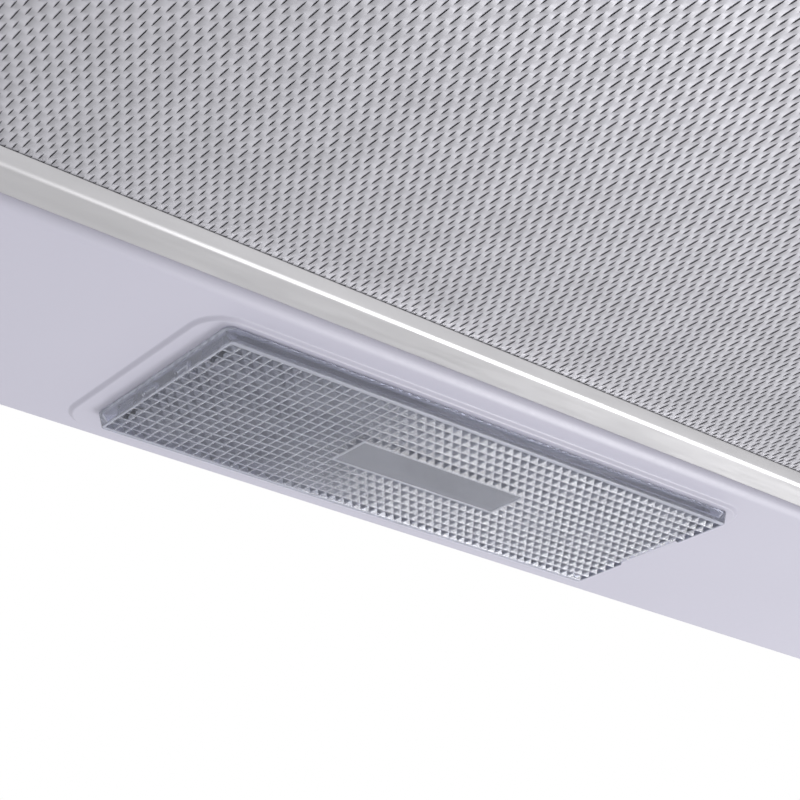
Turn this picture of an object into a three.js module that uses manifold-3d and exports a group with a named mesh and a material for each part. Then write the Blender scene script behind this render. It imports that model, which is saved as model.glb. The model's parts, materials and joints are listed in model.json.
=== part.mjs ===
// Under cabinet range hood: a 600 mm wide sheet steel body that screws up under a wall
// cabinet, with one large aluminium mesh filter, a lamp behind a prismatic cover in the
// rear strip, a centrifugal blower, and a round outlet with two damper flaps.
//
// Millimetres, +Z up. The origin is on the top face, on the centre line in front of the
// outlet. The front of the hood faces -Y and its back, which meets the wall, faces +Y.
import * as THREE from "three";
import { mergeVertices } from "three/addons/utils/BufferGeometryUtils.js";
import Module from "manifold-3d";

const wasm = await Module();
wasm.setup();

// ---------------------------------------------------------------- driving dimensions
// Body
const bodyWidth = 600;
const bodyDepth = 500;
const bodyHeight = 135;
const backReach = 210; // origin to the wall face
const topDepth = 300; // flat top that meets the cabinet
const fasciaHeight = 48; // upright front, sides and back of the lower tray
const noseHeight = 3; // upright land at the foot of the sloping front
const sheet = 1; // steel sheet
const edgeRadius = 2; // outer bends of the body
const creaseRadius = 5; // bend between the flat top and the sloping front
const lapHeight = 9; // canopy flange that reaches down inside the tray
const fitGap = 0.3; // clearance between pieces that touch

// Filter opening and filter
const lampStrip = 89.6; // back edge of the hood to the filter opening
const frontStrip = 38; // front edge of the hood to the filter opening
const sideStrip = 22;
const openingRadius = 7;
const rollRadius = 5; // rolled edge of the filter opening
const flangeHeight = 14;
const slotClearance = 0.6; // round the tongues and tabs that pass through the flange
const filterClearance = 1.6; // filter to opening, all round
const filterThickness = 10;
const filterLip = 10; // flat band of the filter frame
const filterBevel = 2.5; // inner edge of the band, turned up at 45 degrees
const filterSkin = 1;
const meshSheet = 1;
const upperMesh = 0.8;
const tabWidth = 24;
const tabSpread = 190; // each rear tab from the centre line
const tabReach = 6;
const tabInside = 8; // length of each tab inside the frame
const tabSheet = 1.5;
const tabLevel = 5;

// Filter latches
const latchSpread = 150; // each latch from the centre line
const latchWidth = 60;
const latchLength = 34.7;
const latchWall = 3;
const latchTravel = 6;
const tongueWidth = 39.2;
const tongueSheet = 1.9;
const tongueReach = 4.5; // past the filter frame
const tongueLevel = 4.3;

// Lamp
const lampOffset = 45.8; // back edge of the hood to the middle of the cover
const coverWidth = 172.7;
const coverDepth = 61.7;
const bossEnd = 8.35; // boss beyond each end of the cover
const bossSide = 6.9; // boss beyond each long side of the cover
const bossShift = 3.55; // middle of the cover to the middle of the boss, to the back
const bossRadius = 10;
const bossHeight = 1;
const bossRun = 2.2; // width of the boss's sloping side
const coverSeatX = 1.85; // cover on the panel at each end of the lamp opening
const coverSeatY = 2.85; // and along its long sides
const coverHeight = 3.7;
const coverDraft = 1.5; // how far the short sides lean out
const coverSideDraft = 0.4;
const coverWall = 1.6;
const coverFace = 1.8;
const hookSpread = 20;
const hookWidth = 8;
const hookReach = 0.8; // over the edge of the opening
const hookHeight = 1.5; // above the panel, so that the cover can swing
const hookSheet = 1.3;
const hookShank = 1.5;
const hookClearance = 0.35; // shank to the edge of the opening
const notchWidth = 24; // finger notch in the right edge
const notchDepth = 1.8;
const lampHousingHeight = 46.7;
const lampHousingSheet = 0.8;
const lampAxisHeight = 24; // above the bottom of the tray
const socketLength = 28;
const socketRadius = 12.5;
const bulbRadius = 15.5;
const bulbWall = 0.9;
const bulbLength = 92;
const bulbCapRadius = 6.8;
const bulbCapLength = 20;

// Outlet
const ductDiameter = 120;
const ductWall = 2;
const ductOffset = 105; // back edge of the hood to the middle of the outlet
const collarHeight = 35;
const collarFlange = 12;
const pinRadius = 1.5;
const pinLevel = 16;
const flapSheet = 1.2;
const flapGap = 4; // straight edge of a flap to the pin's axis
const flapClearance = 0.8; // flap to the collar's bore
const knuckleSpots = [-44, 16]; // left end of each pair of knuckles, from the duct's axis
const knuckleLength = 12;
const knuckleRadius = 3;
const plenumMargin = 6; // plenum beyond the duct, left and right
const plenumEnd = 5; // plenum beyond the duct, front and back
const plenumSetback = 7.7; // plenum's low part to the lamp housing
const plenumLift = 4; // lamp housing to the plenum's raised floor

// Blower
const fanSetback = 205; // wall face to the fan's axis
const fanGap = 4; // volute's cut-off to the plenum
const scrollFloor = 29; // above the bottom of the tray
const scrollTop = -16;
const scrollSplit = -62; // where the two halves of the scroll meet
const scrollWall = 1.8;
const cutoffGap = 10; // impeller to the volute at the cut-off
const scrollGrowth = 38; // of the volute's radius, from the cut-off to the outlet
const cutoffAngle = 20;
const outletWidth = 60;
const scrollPost = 6; // radius of the posts that hang the scroll
const scrollPostSpread = 55;
const impellerRadius = 70;
const bladeDepth = 14;
const bladeCount = 28;
const bladeSheet = 1.2;
const impellerGap = 5; // blades to the floor of the scroll
const backplateDrop = 19; // roof of the scroll to the impeller's plate
const plateSheet = 2;
const hubRadius = 10;
const hubLength = 10;
const motorRadius = 40;
const motorDrop = 4.7; // motor's foot below the scroll
const motorGap = 14; // motor's head to the impeller's plate
const motorBore = 24;
const shaftRadius = 4;
const shaftClearance = 0.4;
const inletRim = 2; // inlet radius beyond the inside of the impeller
const isolatorInset = 26; // inlet to the middle of each isolator
const isolatorRadius = 6;
const isolatorAngles = [90, 210, 330];
const bracketSheet = 2.5;
const bracketArm = 12;

// Controls
const controlInset = 105; // side of the hood to the middle of the controls
const controlWidth = 152;
const controlHeight = 24;
const bezelRim = 4;
const bezelSheet = 2.2;
const bezelDepth = 14; // sleeve behind the fascia
const bezelPlate = 3; // back of the plate that the buttons pass through
const buttonNames = ["off", "low", "medium", "high", "lamp"];
const buttonShift = 10; // the row of buttons, left of the middle of the bezel
const buttonPitch = 25;
const buttonWidth = 19;
const buttonHeight = 11;
const buttonGap = 0.4;
const buttonProud = 4.5;
const buttonBack = 20; // fascia to the back of a button
const buttonStop = 1.5; // flange that keeps a button in, past its sides
const stemRadius = 2.4;
const switchDepth = 24;
const switchStart = 26; // fascia to the switch block
const indicatorRadius = 2.5;
const indicatorInset = 10;

// Cabinet fixing and case screws
const keyholeInset = 45; // side of the hood to the keyholes
const keyholeEnd = 30; // front and back of the flat top to the keyholes
const keyholeRadius = 6;
const keyholeSlot = 3;
const railHalf = 15;
const railEnd = 22; // rail beyond a keyhole
const railSheet = 1.5;
const railHeight = 9;
const caseScrewFront = 90; // front of the hood to the first case screw
const caseScrewBack = 60;
const caseScrewHole = 2.2;

// Wiring
const glandInset = 78; // side of the hood to the cable gland
const glandSetback = 90; // wall face to the cable gland
const glandNose = 7.5;
const glandFlange = 12.5;
const glandBore = 4;
const terminalGap = 4.5; // gland to the terminal box
const terminalWidth = 90;
const terminalDepth = 60;
const terminalHeight = 30;
const terminalSetback = 60; // wall face to the terminal box
const terminalWays = 5;
const capacitorInset = 180; // side of the hood to the capacitor's left end
const capacitorLength = 52;
const capacitorSetback = 180;
const capacitorRadius = 16;
const capacitorDrop = 22; // top face to the capacitor's axis
const clipSheet = 1.5;

// ---------------------------------------------------------------- worked out from them
const backY = backReach;
const frontY = backReach - bodyDepth;
const middleY = (backY + frontY) / 2;
const bottomZ = -bodyHeight;
const seamZ = bottomZ + fasciaHeight;
const underTop = -sheet - fitGap; // where pieces meet the underside of the top plate
const cornerRadius = edgeRadius + 0.4; // a little over the bends, so that both can meet
const openBack = backY - lampStrip;
const openFront = frontY + frontStrip;
const openWidth = bodyWidth - 2 * sideStrip;
const openDepth = openBack - openFront;
const openY = (openBack + openFront) / 2;
const filterWidth = openWidth - 2 * filterClearance;
const filterDepth = openDepth - 2 * filterClearance;
const filterRadius = openingRadius - filterClearance;
const filterFront = openFront + filterClearance;
const filterBack = openBack - filterClearance;
const lampY = backY - lampOffset;
const bossY = lampY + bossShift;
const bossZ = bottomZ - bossHeight;
const bossWidth = coverWidth + 2 * bossEnd;
const bossDepth = coverDepth + 2 * bossSide;
const lampOpeningWidth = coverWidth - 2 * coverSeatX;
const lampOpeningDepth = coverDepth - 2 * coverSeatY;
const coverTop = bossZ - fitGap;
const coverBottom = coverTop - coverHeight;
const ductY = backY - ductOffset;
const ductOuter = ductDiameter / 2 - 0.5;
const ductInner = ductOuter - ductWall;
const collarBase = underTop - ductWall;
const plenumHalf = ductDiameter / 2 + plenumMargin;
const plenumFront = ductY - ductDiameter / 2 - plenumEnd;
const plenumBack = ductY + ductDiameter / 2 + plenumEnd;
const impellerInner = impellerRadius - bladeDepth;
const inletRadius = impellerInner + inletRim;
const isolatorRing = inletRadius + isolatorInset;
const scrollBottom = bottomZ + scrollFloor;
const scrollStart = impellerRadius + cutoffGap; // volute radius at the cut-off
const scrollEnd = scrollStart + scrollGrowth;
const outletInner = scrollEnd - outletWidth;
const fanX = -(plenumHalf + scrollStart + fanGap);
const fanY = backY - fanSetback;
const keyholeX = bodyWidth / 2 - keyholeInset;
const keyholeFront = backY - topDepth + keyholeEnd;
const keyholeBack = backY - keyholeEnd;
const glandX = bodyWidth / 2 - glandInset;
const glandY = backY - glandSetback;

// ---------------------------------------------------------------- solids
function solid(geometry) {
  const bare = geometry.index ? geometry.toNonIndexed() : geometry.clone();
  for (const name of Object.keys(bare.attributes)) {
    if (name !== "position") bare.deleteAttribute(name);
  }
  const merged = mergeVertices(bare, 1e-4);
  const index = merged.index.array;
  const kept = [];
  for (let i = 0; i < index.length; i += 3) {
    const [a, b, c] = [index[i], index[i + 1], index[i + 2]];
    if (a !== b && b !== c && c !== a) kept.push(a, b, c);
  }
  const vertProperties = Float32Array.from(merged.attributes.position.array);
  if (enclosedVolume(vertProperties, kept) < 0) kept.reverse();
  const triVerts = Uint32Array.from(kept);
  return new wasm.Manifold(new wasm.Mesh({ numProp: 3, vertProperties, triVerts }));
}

function enclosedVolume(points, index) {
  const [a, b, c] = [new THREE.Vector3(), new THREE.Vector3(), new THREE.Vector3()];
  let total = 0;
  for (let i = 0; i < index.length; i += 3) {
    a.fromArray(points, 3 * index[i]);
    b.fromArray(points, 3 * index[i + 1]);
    c.fromArray(points, 3 * index[i + 2]);
    total += a.dot(b.cross(c));
  }
  return total;
}

const join = (...parts) => parts.reduce((whole, part) => whole.add(part));
const cut = (whole, ...tools) => tools.reduce((rest, tool) => rest.subtract(tool), whole);

function block(x0, x1, y0, y1, z0, z1) {
  const geometry = new THREE.BoxGeometry(x1 - x0, y1 - y0, z1 - z0);
  return solid(geometry.translate((x0 + x1) / 2, (y0 + y1) / 2, (z0 + z1) / 2));
}

// A shape in XY, drawn up from z0 to z1.
function prism(shape, z0, z1, curveSegments = 3) {
  const geometry = new THREE.ExtrudeGeometry(shape, {
    depth: z1 - z0,
    bevelEnabled: false,
    curveSegments,
  });
  return solid(geometry.translate(0, 0, z0));
}

// A prism whose end edges are rounded.
function softPrism(shape, z0, z1, radius, bevelSegments = 3, curveSegments = 2) {
  const geometry = softExtrude(shape, z1 - z0, radius, bevelSegments, curveSegments);
  return solid(geometry.translate(0, 0, z0));
}

function softExtrude(shape, length, radius, bevelSegments, curveSegments) {
  const geometry = new THREE.ExtrudeGeometry(shape, {
    depth: length - 2 * radius,
    bevelEnabled: true,
    bevelThickness: radius,
    bevelSize: radius,
    bevelOffset: -radius,
    bevelSegments,
    curveSegments,
  });
  return geometry.translate(0, 0, radius);
}

const axisX = new THREE.Vector3(1, 0, 0);
const axisY = new THREE.Vector3(0, 1, 0);
const axisZ = new THREE.Vector3(0, 0, 1);

// A shape drawn in (y, z), drawn along X from x0 to x1.
function alongX(shape, x0, x1, radius = 0, curveSegments = 3) {
  const geometry = radius
    ? softExtrude(shape, x1 - x0, radius, 3, curveSegments)
    : new THREE.ExtrudeGeometry(shape, {
        depth: x1 - x0,
        bevelEnabled: false,
        curveSegments,
      });
  geometry.applyMatrix4(new THREE.Matrix4().makeBasis(axisY, axisZ, axisX));
  return solid(geometry.translate(x0, 0, 0));
}

// A shape drawn in (x, z), drawn along Y from y0 to y1.
function alongY(shape, y0, y1, radius = 0, curveSegments = 2) {
  const geometry = radius
    ? softExtrude(shape, y1 - y0, radius, 2, curveSegments)
    : new THREE.ExtrudeGeometry(shape, {
        depth: y1 - y0,
        bevelEnabled: false,
        curveSegments,
      });
  const backwards = axisY.clone().negate();
  geometry.applyMatrix4(new THREE.Matrix4().makeBasis(axisX, axisZ, backwards));
  return solid(geometry.translate(0, y1, 0));
}

// A profile of [radius, height] points turned about a line along Z.
function turned(profile, x, y, segments = 32) {
  const points = profile.map(([r, h]) => new THREE.Vector2(r, h));
  const geometry = new THREE.LatheGeometry(points, segments);
  return solid(geometry.rotateX(Math.PI / 2).translate(x, y, 0));
}

// A profile of [radius, x] points turned about a line along X.
function turnedX(profile, y, z, segments = 24) {
  const points = profile.map(([r, x]) => new THREE.Vector2(r, x));
  const geometry = new THREE.LatheGeometry(points, segments);
  return solid(geometry.rotateZ(-Math.PI / 2).translate(0, y, z));
}

const disc = (x, y, z0, z1, radius, segments = 32) =>
  turned([[0, z0], [radius, z0], [radius, z1], [0, z1]], x, y, segments);

const ring = (x, y, z0, z1, inner, outer, segments = 32) =>
  turned([[inner, z0], [outer, z0], [outer, z1], [inner, z1], [inner, z0]], x, y, segments);

function roundRect(width, depth, radius, x = 0, y = 0) {
  const [w, d] = [width / 2 - radius, depth / 2 - radius];
  const shape = new THREE.Shape();
  shape.absarc(x + w, y + d, radius, 0, Math.PI / 2);
  shape.absarc(x - w, y + d, radius, Math.PI / 2, Math.PI);
  shape.absarc(x - w, y - d, radius, Math.PI, 1.5 * Math.PI);
  shape.absarc(x + w, y - d, radius, 1.5 * Math.PI, 2 * Math.PI);
  return shape;
}

function circle(x, y, radius) {
  return new THREE.Shape().absarc(x, y, radius, 0, 2 * Math.PI);
}

function polygon(points) {
  return new THREE.Shape(points.map(([a, b]) => new THREE.Vector2(a, b)));
}

// Rounded rectangles at rising heights, skinned into one closed body. Each ring grows
// its rectangle by its own offset, so its corner radius grows with it.
function loft(base, rings, cornerSteps = 3) {
  const loops = rings.map(({ z, offset, own = base }) => rectangleLoop(own, offset, z, cornerSteps));
  const count = loops[0].length;
  const corners = [];
  for (let level = 1; level < loops.length; level++) {
    for (let i = 0; i < count; i++) {
      const next = (i + 1) % count;
      const [a, b] = [loops[level - 1][i], loops[level - 1][next]];
      const [c, d] = [loops[level][next], loops[level][i]];
      corners.push(a, b, c, a, c, d);
    }
  }
  const [floor, roof] = [loops[0], loops[loops.length - 1]];
  for (let i = 1; i < count - 1; i++) {
    corners.push(floor[0], floor[i + 1], floor[i]);
    corners.push(roof[0], roof[i], roof[i + 1]);
  }
  return solid(new THREE.BufferGeometry().setFromPoints(corners));
}

function rectangleLoop({ width, depth, radius, x, y }, offset, z, cornerSteps) {
  const shape = roundRect(
    width + 2 * offset,
    depth + 2 * offset,
    Math.max(radius + offset, 0.2),
    x,
    y,
  );
  const points = shape.getPoints(cornerSteps);
  const loop = points.map((point) => new THREE.Vector3(point.x, point.y, z));
  return loop.filter((point, i) => i === 0 || point.distanceTo(loop[i - 1]) > 1e-6)
    .filter((point, i, all) => i < all.length - 1 || point.distanceTo(all[0]) > 1e-6);
}

// The polygon moved inwards by a distance, for a corner list that runs anticlockwise.
function insetPolygon(points, distance) {
  const count = points.length;
  return points.map((point, i) => {
    const before = points[(i + count - 1) % count];
    const after = points[(i + 1) % count];
    const u = new THREE.Vector2(point[0] - before[0], point[1] - before[1]).normalize();
    const v = new THREE.Vector2(after[0] - point[0], after[1] - point[1]).normalize();
    const n1 = new THREE.Vector2(-u.y, u.x);
    const n2 = new THREE.Vector2(-v.y, v.x);
    const scale = distance / (1 + n1.dot(n2));
    return [point[0] + (n1.x + n2.x) * scale, point[1] + (n1.y + n2.y) * scale];
  });
}

// A polygon of [a, b] points with each corner rounded by its radius.
function roundedPolygon(points, radii) {
  const shape = new THREE.Shape();
  const count = points.length;
  points.forEach((point, i) => {
    const corner = new THREE.Vector2(...point);
    const before = new THREE.Vector2(...points[(i + count - 1) % count]).sub(corner);
    const after = new THREE.Vector2(...points[(i + 1) % count]).sub(corner);
    before.normalize();
    after.normalize();
    const halfAngle = Math.acos(before.dot(after)) / 2;
    const reach = radii[i] / Math.tan(halfAngle);
    const start = corner.clone().addScaledVector(before, reach);
    const end = corner.clone().addScaledVector(after, reach);
    if (i === 0) shape.moveTo(start.x, start.y);
    else shape.lineTo(start.x, start.y);
    if (radii[i] > 0) {
      const bisector = before.clone().add(after).normalize();
      const centre = corner.clone().addScaledVector(bisector, radii[i] / Math.sin(halfAngle));
      const from = Math.atan2(start.y - centre.y, start.x - centre.x);
      const to = Math.atan2(end.y - centre.y, end.x - centre.x);
      const clockwise = before.cross(after) > 0;
      shape.absarc(centre.x, centre.y, radii[i], from, to, clockwise);
    }
  });
  shape.closePath();
  return shape;
}

// ---------------------------------------------------------------- the model
const hood = new THREE.Group();

const finishes = {
  paint: { color: 0xd4d2dc, roughness: 0.42, metalness: 0.0 },
  galvanised: { color: 0xa9adb0, roughness: 0.5, metalness: 0.9 },
  aluminium: { color: 0xc4c4c2, roughness: 0.38, metalness: 0.95 },
  mesh: { color: 0xb4b4b2, roughness: 0.45, metalness: 0.95 },
  clear: { color: 0xa4abb8, roughness: 0.12, metalness: 0.0 },
  bulb: { color: 0xf2efe6, roughness: 0.15, metalness: 0.0 },
  ceramic: { color: 0xe9e6dc, roughness: 0.4, metalness: 0.0 },
  brass: { color: 0xc8a45c, roughness: 0.35, metalness: 1.0 },
  white: { color: 0xe4e3e6, roughness: 0.4, metalness: 0.0 },
  grey: { color: 0x8c8f94, roughness: 0.5, metalness: 0.0 },
  black: { color: 0x2a2b2e, roughness: 0.55, metalness: 0.0 },
  steel: { color: 0x8f9397, roughness: 0.4, metalness: 1.0 },
  rubber: { color: 0x1c1c1d, roughness: 0.85, metalness: 0.0 },
  amber: { color: 0xe08a2a, roughness: 0.25, metalness: 0.0 },
};

function addNode(name, body, finish) {
  const { vertProperties, triVerts } = body.getMesh();
  const geometry = new THREE.BufferGeometry();
  geometry.setAttribute("position", new THREE.BufferAttribute(vertProperties, 3));
  geometry.setIndex(new THREE.BufferAttribute(triVerts, 1));
  geometry.computeVertexNormals();
  const mesh = new THREE.Mesh(geometry, new THREE.MeshStandardMaterial(finishes[finish]));
  mesh.name = name;
  hood.add(mesh);
}

const sides = [
  ["left", -1],
  ["right", 1],
];

// ---------------------------------------------------------------- body
const screwSpots = [
  ["front", frontY + caseScrewFront],
  ["rear", backY - caseScrewBack],
];
const screwZ = seamZ - lapHeight / 2;

function keyhole(x, y) {
  const shape = new THREE.Shape();
  const halfAngle = Math.asin(keyholeSlot / keyholeRadius);
  const slotEnd = y + keyholeRadius * 2;
  shape.absarc(x, y, keyholeRadius, Math.PI / 2 + halfAngle, Math.PI / 2 - halfAngle + 2 * Math.PI);
  shape.absarc(x, slotEnd, keyholeSlot, 0, Math.PI);
  return shape;
}

const keyholeSpots = sides.flatMap(([, side]) => [
  [side * keyholeX, keyholeFront],
  [side * keyholeX, keyholeBack],
]);

function screwHoles(inner, outer) {
  return sides.flatMap(([, side]) =>
    screwSpots.map(([, y]) =>
      alongX(circle(y, screwZ, caseScrewHole), side < 0 ? -outer : inner, side < 0 ? -inner : outer),
    ),
  );
}

function canopy() {
  const deep = seamZ - 2 * lapHeight;
  const side = [
    [frontY, deep],
    [backY, deep],
    [backY, 0],
    [backY - topDepth, 0],
    [frontY, seamZ + noseHeight],
  ];
  const bends = [0, 0, cornerRadius, creaseRadius, cornerRadius];
  const innerBends = bends.map((radius) => Math.max(radius - sheet, 0));
  const outline = roundedPolygon(side, bends);
  const inner = roundedPolygon(insetPolygon(side, sheet), innerBends);
  const half = bodyWidth / 2;
  let shell = alongX(outline, -half, half, edgeRadius);
  shell = cut(shell, alongX(inner, sheet - half, half - sheet, edgeRadius - sheet));
  shell = cut(shell, block(-half - 1, half + 1, frontY - 1, backY + 1, deep - 1, seamZ + fitGap));
  const step = sheet + fitGap;
  const flange = {
    width: bodyWidth - 2 * step,
    depth: bodyDepth - 2 * step,
    radius: edgeRadius - sheet,
    x: 0,
    y: middleY,
  };
  const ledge = 1.2; // thickness of the joggle
  const lap = cut(
    join(
      loft(flange, [{ z: seamZ - lapHeight, offset: 0 }, { z: seamZ + ledge, offset: 0 }], 3),
      loft(
        flange,
        [{ z: seamZ + fitGap, offset: step - 0.4 }, { z: seamZ + ledge, offset: step - 0.4 }],
        3,
      ),
    ),
    loft(
      flange,
      [{ z: seamZ - lapHeight - 1, offset: -sheet }, { z: seamZ + ledge + 1, offset: -sheet }],
      3,
    ),
  );
  shell = join(shell, lap);
  shell = cut(shell, disc(0, ductY, -sheet - 1, 1, ductDiameter / 2, 48));
  shell = cut(shell, ...keyholeSpots.map(([x, y]) => prism(keyhole(x, y), -sheet - 1, 1, 4)));
  shell = cut(shell, disc(glandX, glandY, -sheet - 1, 1, glandNose + 0.5, 24));
  return cut(shell, ...screwHoles(half - 6, half + 1));
}

// Ring offsets of an edge that rolls up from the panel into an upright flange.
function rollRings(radius, thickness, steps = 4) {
  const rings = [];
  for (let i = 0; i <= steps; i++) {
    const angle = ((Math.PI / 2) * i) / steps;
    rings.push({
      z: bottomZ + radius - (radius - thickness) * Math.cos(angle),
      offset: radius - (radius - thickness) * Math.sin(angle),
    });
  }
  return rings;
}

// Ring offsets of the boss's side, an S-shaped step down from the panel.
function bossRings(steps = 4) {
  const rings = [];
  for (let i = steps; i >= 0; i--) {
    const share = i / steps;
    const drop = (bossHeight * (1 - Math.cos(Math.PI * share))) / 2;
    rings.push({ z: bottomZ - drop, offset: -bossRun * share });
  }
  return rings;
}

const latchSlot = {
  low: tongueLevel - 0.4,
  high: tongueLevel + tongueSheet + 0.4,
  reach: tongueWidth / 2 + slotClearance,
};

function lowerTray() {
  const half = bodyWidth / 2;
  const outline = roundRect(bodyWidth, bodyDepth, cornerRadius, 0, middleY);
  const hollow = roundRect(
    bodyWidth - 2 * sheet,
    bodyDepth - 2 * sheet,
    cornerRadius - sheet,
    0,
    middleY,
  );
  let tray = softPrism(outline, bottomZ, seamZ + 10, edgeRadius);
  tray = cut(tray, softPrism(hollow, bottomZ + sheet, seamZ + 12, edgeRadius - sheet));
  tray = cut(tray, block(-half - 1, half + 1, frontY - 1, backY + 1, seamZ, seamZ + 12));

  const opening = { width: openWidth, depth: openDepth, radius: openingRadius, x: 0, y: openY };
  const flangeTop = bottomZ + flangeHeight;
  const insideRoll = loft(opening, [
    { z: bottomZ + 0.2, offset: rollRadius },
    ...rollRings(rollRadius, sheet),
    { z: flangeTop, offset: sheet },
  ]);
  const visibleRoll = loft(opening, [
    { z: bottomZ - 2, offset: rollRadius },
    ...rollRings(rollRadius, 0),
    { z: flangeTop + 1, offset: 0 },
  ]);
  tray = cut(join(tray, insideRoll), visibleRoll);

  const boss = { width: bossWidth, depth: bossDepth, radius: bossRadius, x: 0, y: bossY };
  tray = join(tray, loft(boss, [...bossRings(), { z: bottomZ + sheet / 2, offset: 0 }]));
  const dish = -bossRun - sheet;
  tray = cut(tray, loft(boss, [{ z: bottomZ, offset: dish }, { z: bottomZ + 3, offset: dish }]));
  tray = cut(
    tray,
    prism(roundRect(lampOpeningWidth, lampOpeningDepth, 4, 0, lampY), bossZ - 1, bottomZ + 3),
  );

  for (const [, side] of sides) {
    const latchX = side * latchSpread;
    tray = cut(
      tray,
      block(
        latchX - latchSlot.reach,
        latchX + latchSlot.reach,
        openFront - sheet - 0.5,
        openFront + 0.5,
        bottomZ + latchSlot.low,
        bottomZ + latchSlot.high,
      ),
    );
    const tabX = side * tabSpread;
    const halfTab = tabWidth / 2 + 1;
    tray = cut(
      tray,
      block(
        tabX - halfTab,
        tabX + halfTab,
        openBack - 0.5,
        openBack + sheet + 0.5,
        bottomZ + tabLevel - 1.5,
        bottomZ + tabLevel + tabSheet + 2,
      ),
    );
  }
  const controlHole = roundRect(controlWidth, controlHeight, 3, controlX, controlZ);
  tray = cut(tray, alongY(controlHole, frontY - 1, frontY + sheet + 1));
  return cut(tray, ...screwHoles(half - 3, half + 1));
}

function caseScrew(side, y) {
  const half = bodyWidth / 2;
  const head = half + fitGap;
  const profile = [
    [0, half - 8],
    [1.6, half - 7.2],
    [1.6, head],
    [3.6, head],
    [3.3, head + 0.9],
    [2.2, head + 1.3],
    [0, head + 1.3],
  ];
  const mirrored = profile.map(([r, x]) => [r, side * x]);
  return turnedX(mirrored, y, screwZ, 12);
}

function mountRail(side) {
  const [x0, x1] = [side * keyholeX - railHalf, side * keyholeX + railHalf];
  const [y0, y1] = [keyholeFront - railEnd, keyholeBack + railEnd];
  const foot = underTop - railHeight;
  const rail = join(
    block(x0, x1, y0, y1, underTop - railSheet, underTop),
    block(x0, x0 + railSheet, y0, y1, foot, underTop),
    block(x1 - railSheet, x1, y0, y1, foot, underTop),
  );
  const holes = [keyholeFront, keyholeBack].map((y) =>
    prism(keyhole(side * keyholeX, y), foot, underTop + 1, 4),
  );
  return cut(rail, ...holes);
}

// ---------------------------------------------------------------- outlet and dampers
function outletCollar() {
  const body = turned(
    [
      [ductInner, collarBase],
      [ductOuter + collarFlange, collarBase],
      [ductOuter + collarFlange, underTop],
      [ductOuter, underTop],
      [ductOuter, collarHeight - 3],
      [ductOuter - 0.8, collarHeight],
      [ductInner, collarHeight],
      [ductInner, pinLevel - flapSheet / 2 - fitGap],
      [ductInner - 2, pinLevel - flapSheet / 2 - fitGap],
      [ductInner - 2, pinLevel - flapSheet / 2 - fitGap - 2],
      [ductInner, pinLevel - flapSheet / 2 - fitGap - 4],
      [ductInner, collarBase],
    ],
    0,
    ductY,
    48,
  );
  const pinHole = alongX(circle(ductY, pinLevel, pinRadius + fitGap), -ductOuter - 1, ductOuter + 1);
  return cut(body, pinHole);
}

function damperPin() {
  const end = ductOuter - 0.3;
  const profile = [
    [0, -end],
    [pinRadius, -end],
    [pinRadius, end],
    [0, end],
  ];
  return turnedX(profile, ductY, pinLevel, 16);
}

const rod = (radius, x0, x1) =>
  turnedX([[0, x0], [radius, x0], [radius, x1], [0, x1]], 0, pinLevel, 16);

// Half of a disc with two knuckles on the pin. The rear flap's knuckles stand beside
// the front flap's, so that both turn on one pin.
function damperFlap(side) {
  const radius = ductInner - flapClearance;
  const shape = new THREE.Shape();
  const start = Math.asin(flapGap / radius);
  shape.absarc(0, 0, radius, start, Math.PI - start);
  const leaf = prism(shape, pinLevel - flapSheet / 2, pinLevel + flapSheet / 2, 20);
  const bore = pinRadius + fitGap;
  const [low, high] = [pinLevel - flapSheet / 2, pinLevel + flapSheet / 2];
  const knuckles = knuckleSpots.map((x) => {
    const x0 = side < 0 ? x : x + knuckleLength + 2;
    const x1 = x0 + knuckleLength;
    const sleeve = cut(rod(knuckleRadius, x0, x1), rod(bore, x0 - 1, x1 + 1));
    return join(sleeve, block(x0, x1, bore + 0.4, flapGap + 2, low, high));
  });
  const flap = join(leaf, ...knuckles);
  const { vertProperties, triVerts } = flap.getMesh();
  const geometry = new THREE.BufferGeometry();
  geometry.setAttribute("position", new THREE.BufferAttribute(vertProperties, 3));
  geometry.setIndex(new THREE.BufferAttribute(triVerts, 1));
  if (side < 0) geometry.scale(1, -1, 1);
  return solid(geometry.translate(0, ductY, 0));
}

// ---------------------------------------------------------------- filter
const filterBase = { width: filterWidth, depth: filterDepth, radius: filterRadius, x: 0, y: openY };

function filterFrame() {
  const top = bottomZ + filterThickness;
  let frame = softPrism(
    roundRect(filterWidth, filterDepth, filterRadius, 0, openY),
    bottomZ,
    top,
    filterSkin * 0.9,
  );
  frame = cut(
    frame,
    loft(filterBase, [
      { z: bottomZ + filterSkin, offset: -filterSkin },
      { z: top - filterSkin, offset: -filterSkin },
    ]),
  );
  const bevelTop = bottomZ + filterBevel;
  const skin = 1.1;
  const upturn = loft(filterBase, [
    { z: bottomZ + 0.4, offset: -filterLip + skin - 0.4 },
    { z: bevelTop, offset: -filterLip - filterBevel + skin },
  ]);
  const window = loft(filterBase, [
    { z: bottomZ - 1, offset: -filterLip },
    { z: bottomZ, offset: -filterLip },
    { z: bevelTop, offset: -filterLip - filterBevel },
    { z: top + 1, offset: -filterLip - filterBevel },
  ]);
  frame = cut(join(frame, upturn), window);
  for (const [, side] of sides) {
    const latchX = side * latchSpread;
    frame = cut(
      frame,
      block(
        latchX - latchSlot.reach,
        latchX + latchSlot.reach,
        filterFront - 1,
        filterFront + filterSkin + 0.5,
        bottomZ + latchSlot.low,
        bottomZ + latchSlot.high,
      ),
    );
    const tabX = side * tabSpread;
    const halfTab = tabWidth / 2 + fitGap;
    frame = cut(
      frame,
      block(
        tabX - halfTab,
        tabX + halfTab,
        filterBack - filterSkin - 0.5,
        filterBack + 1,
        bottomZ + tabLevel - fitGap,
        bottomZ + tabLevel + tabSheet + fitGap,
      ),
    );
  }
  return frame;
}

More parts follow.
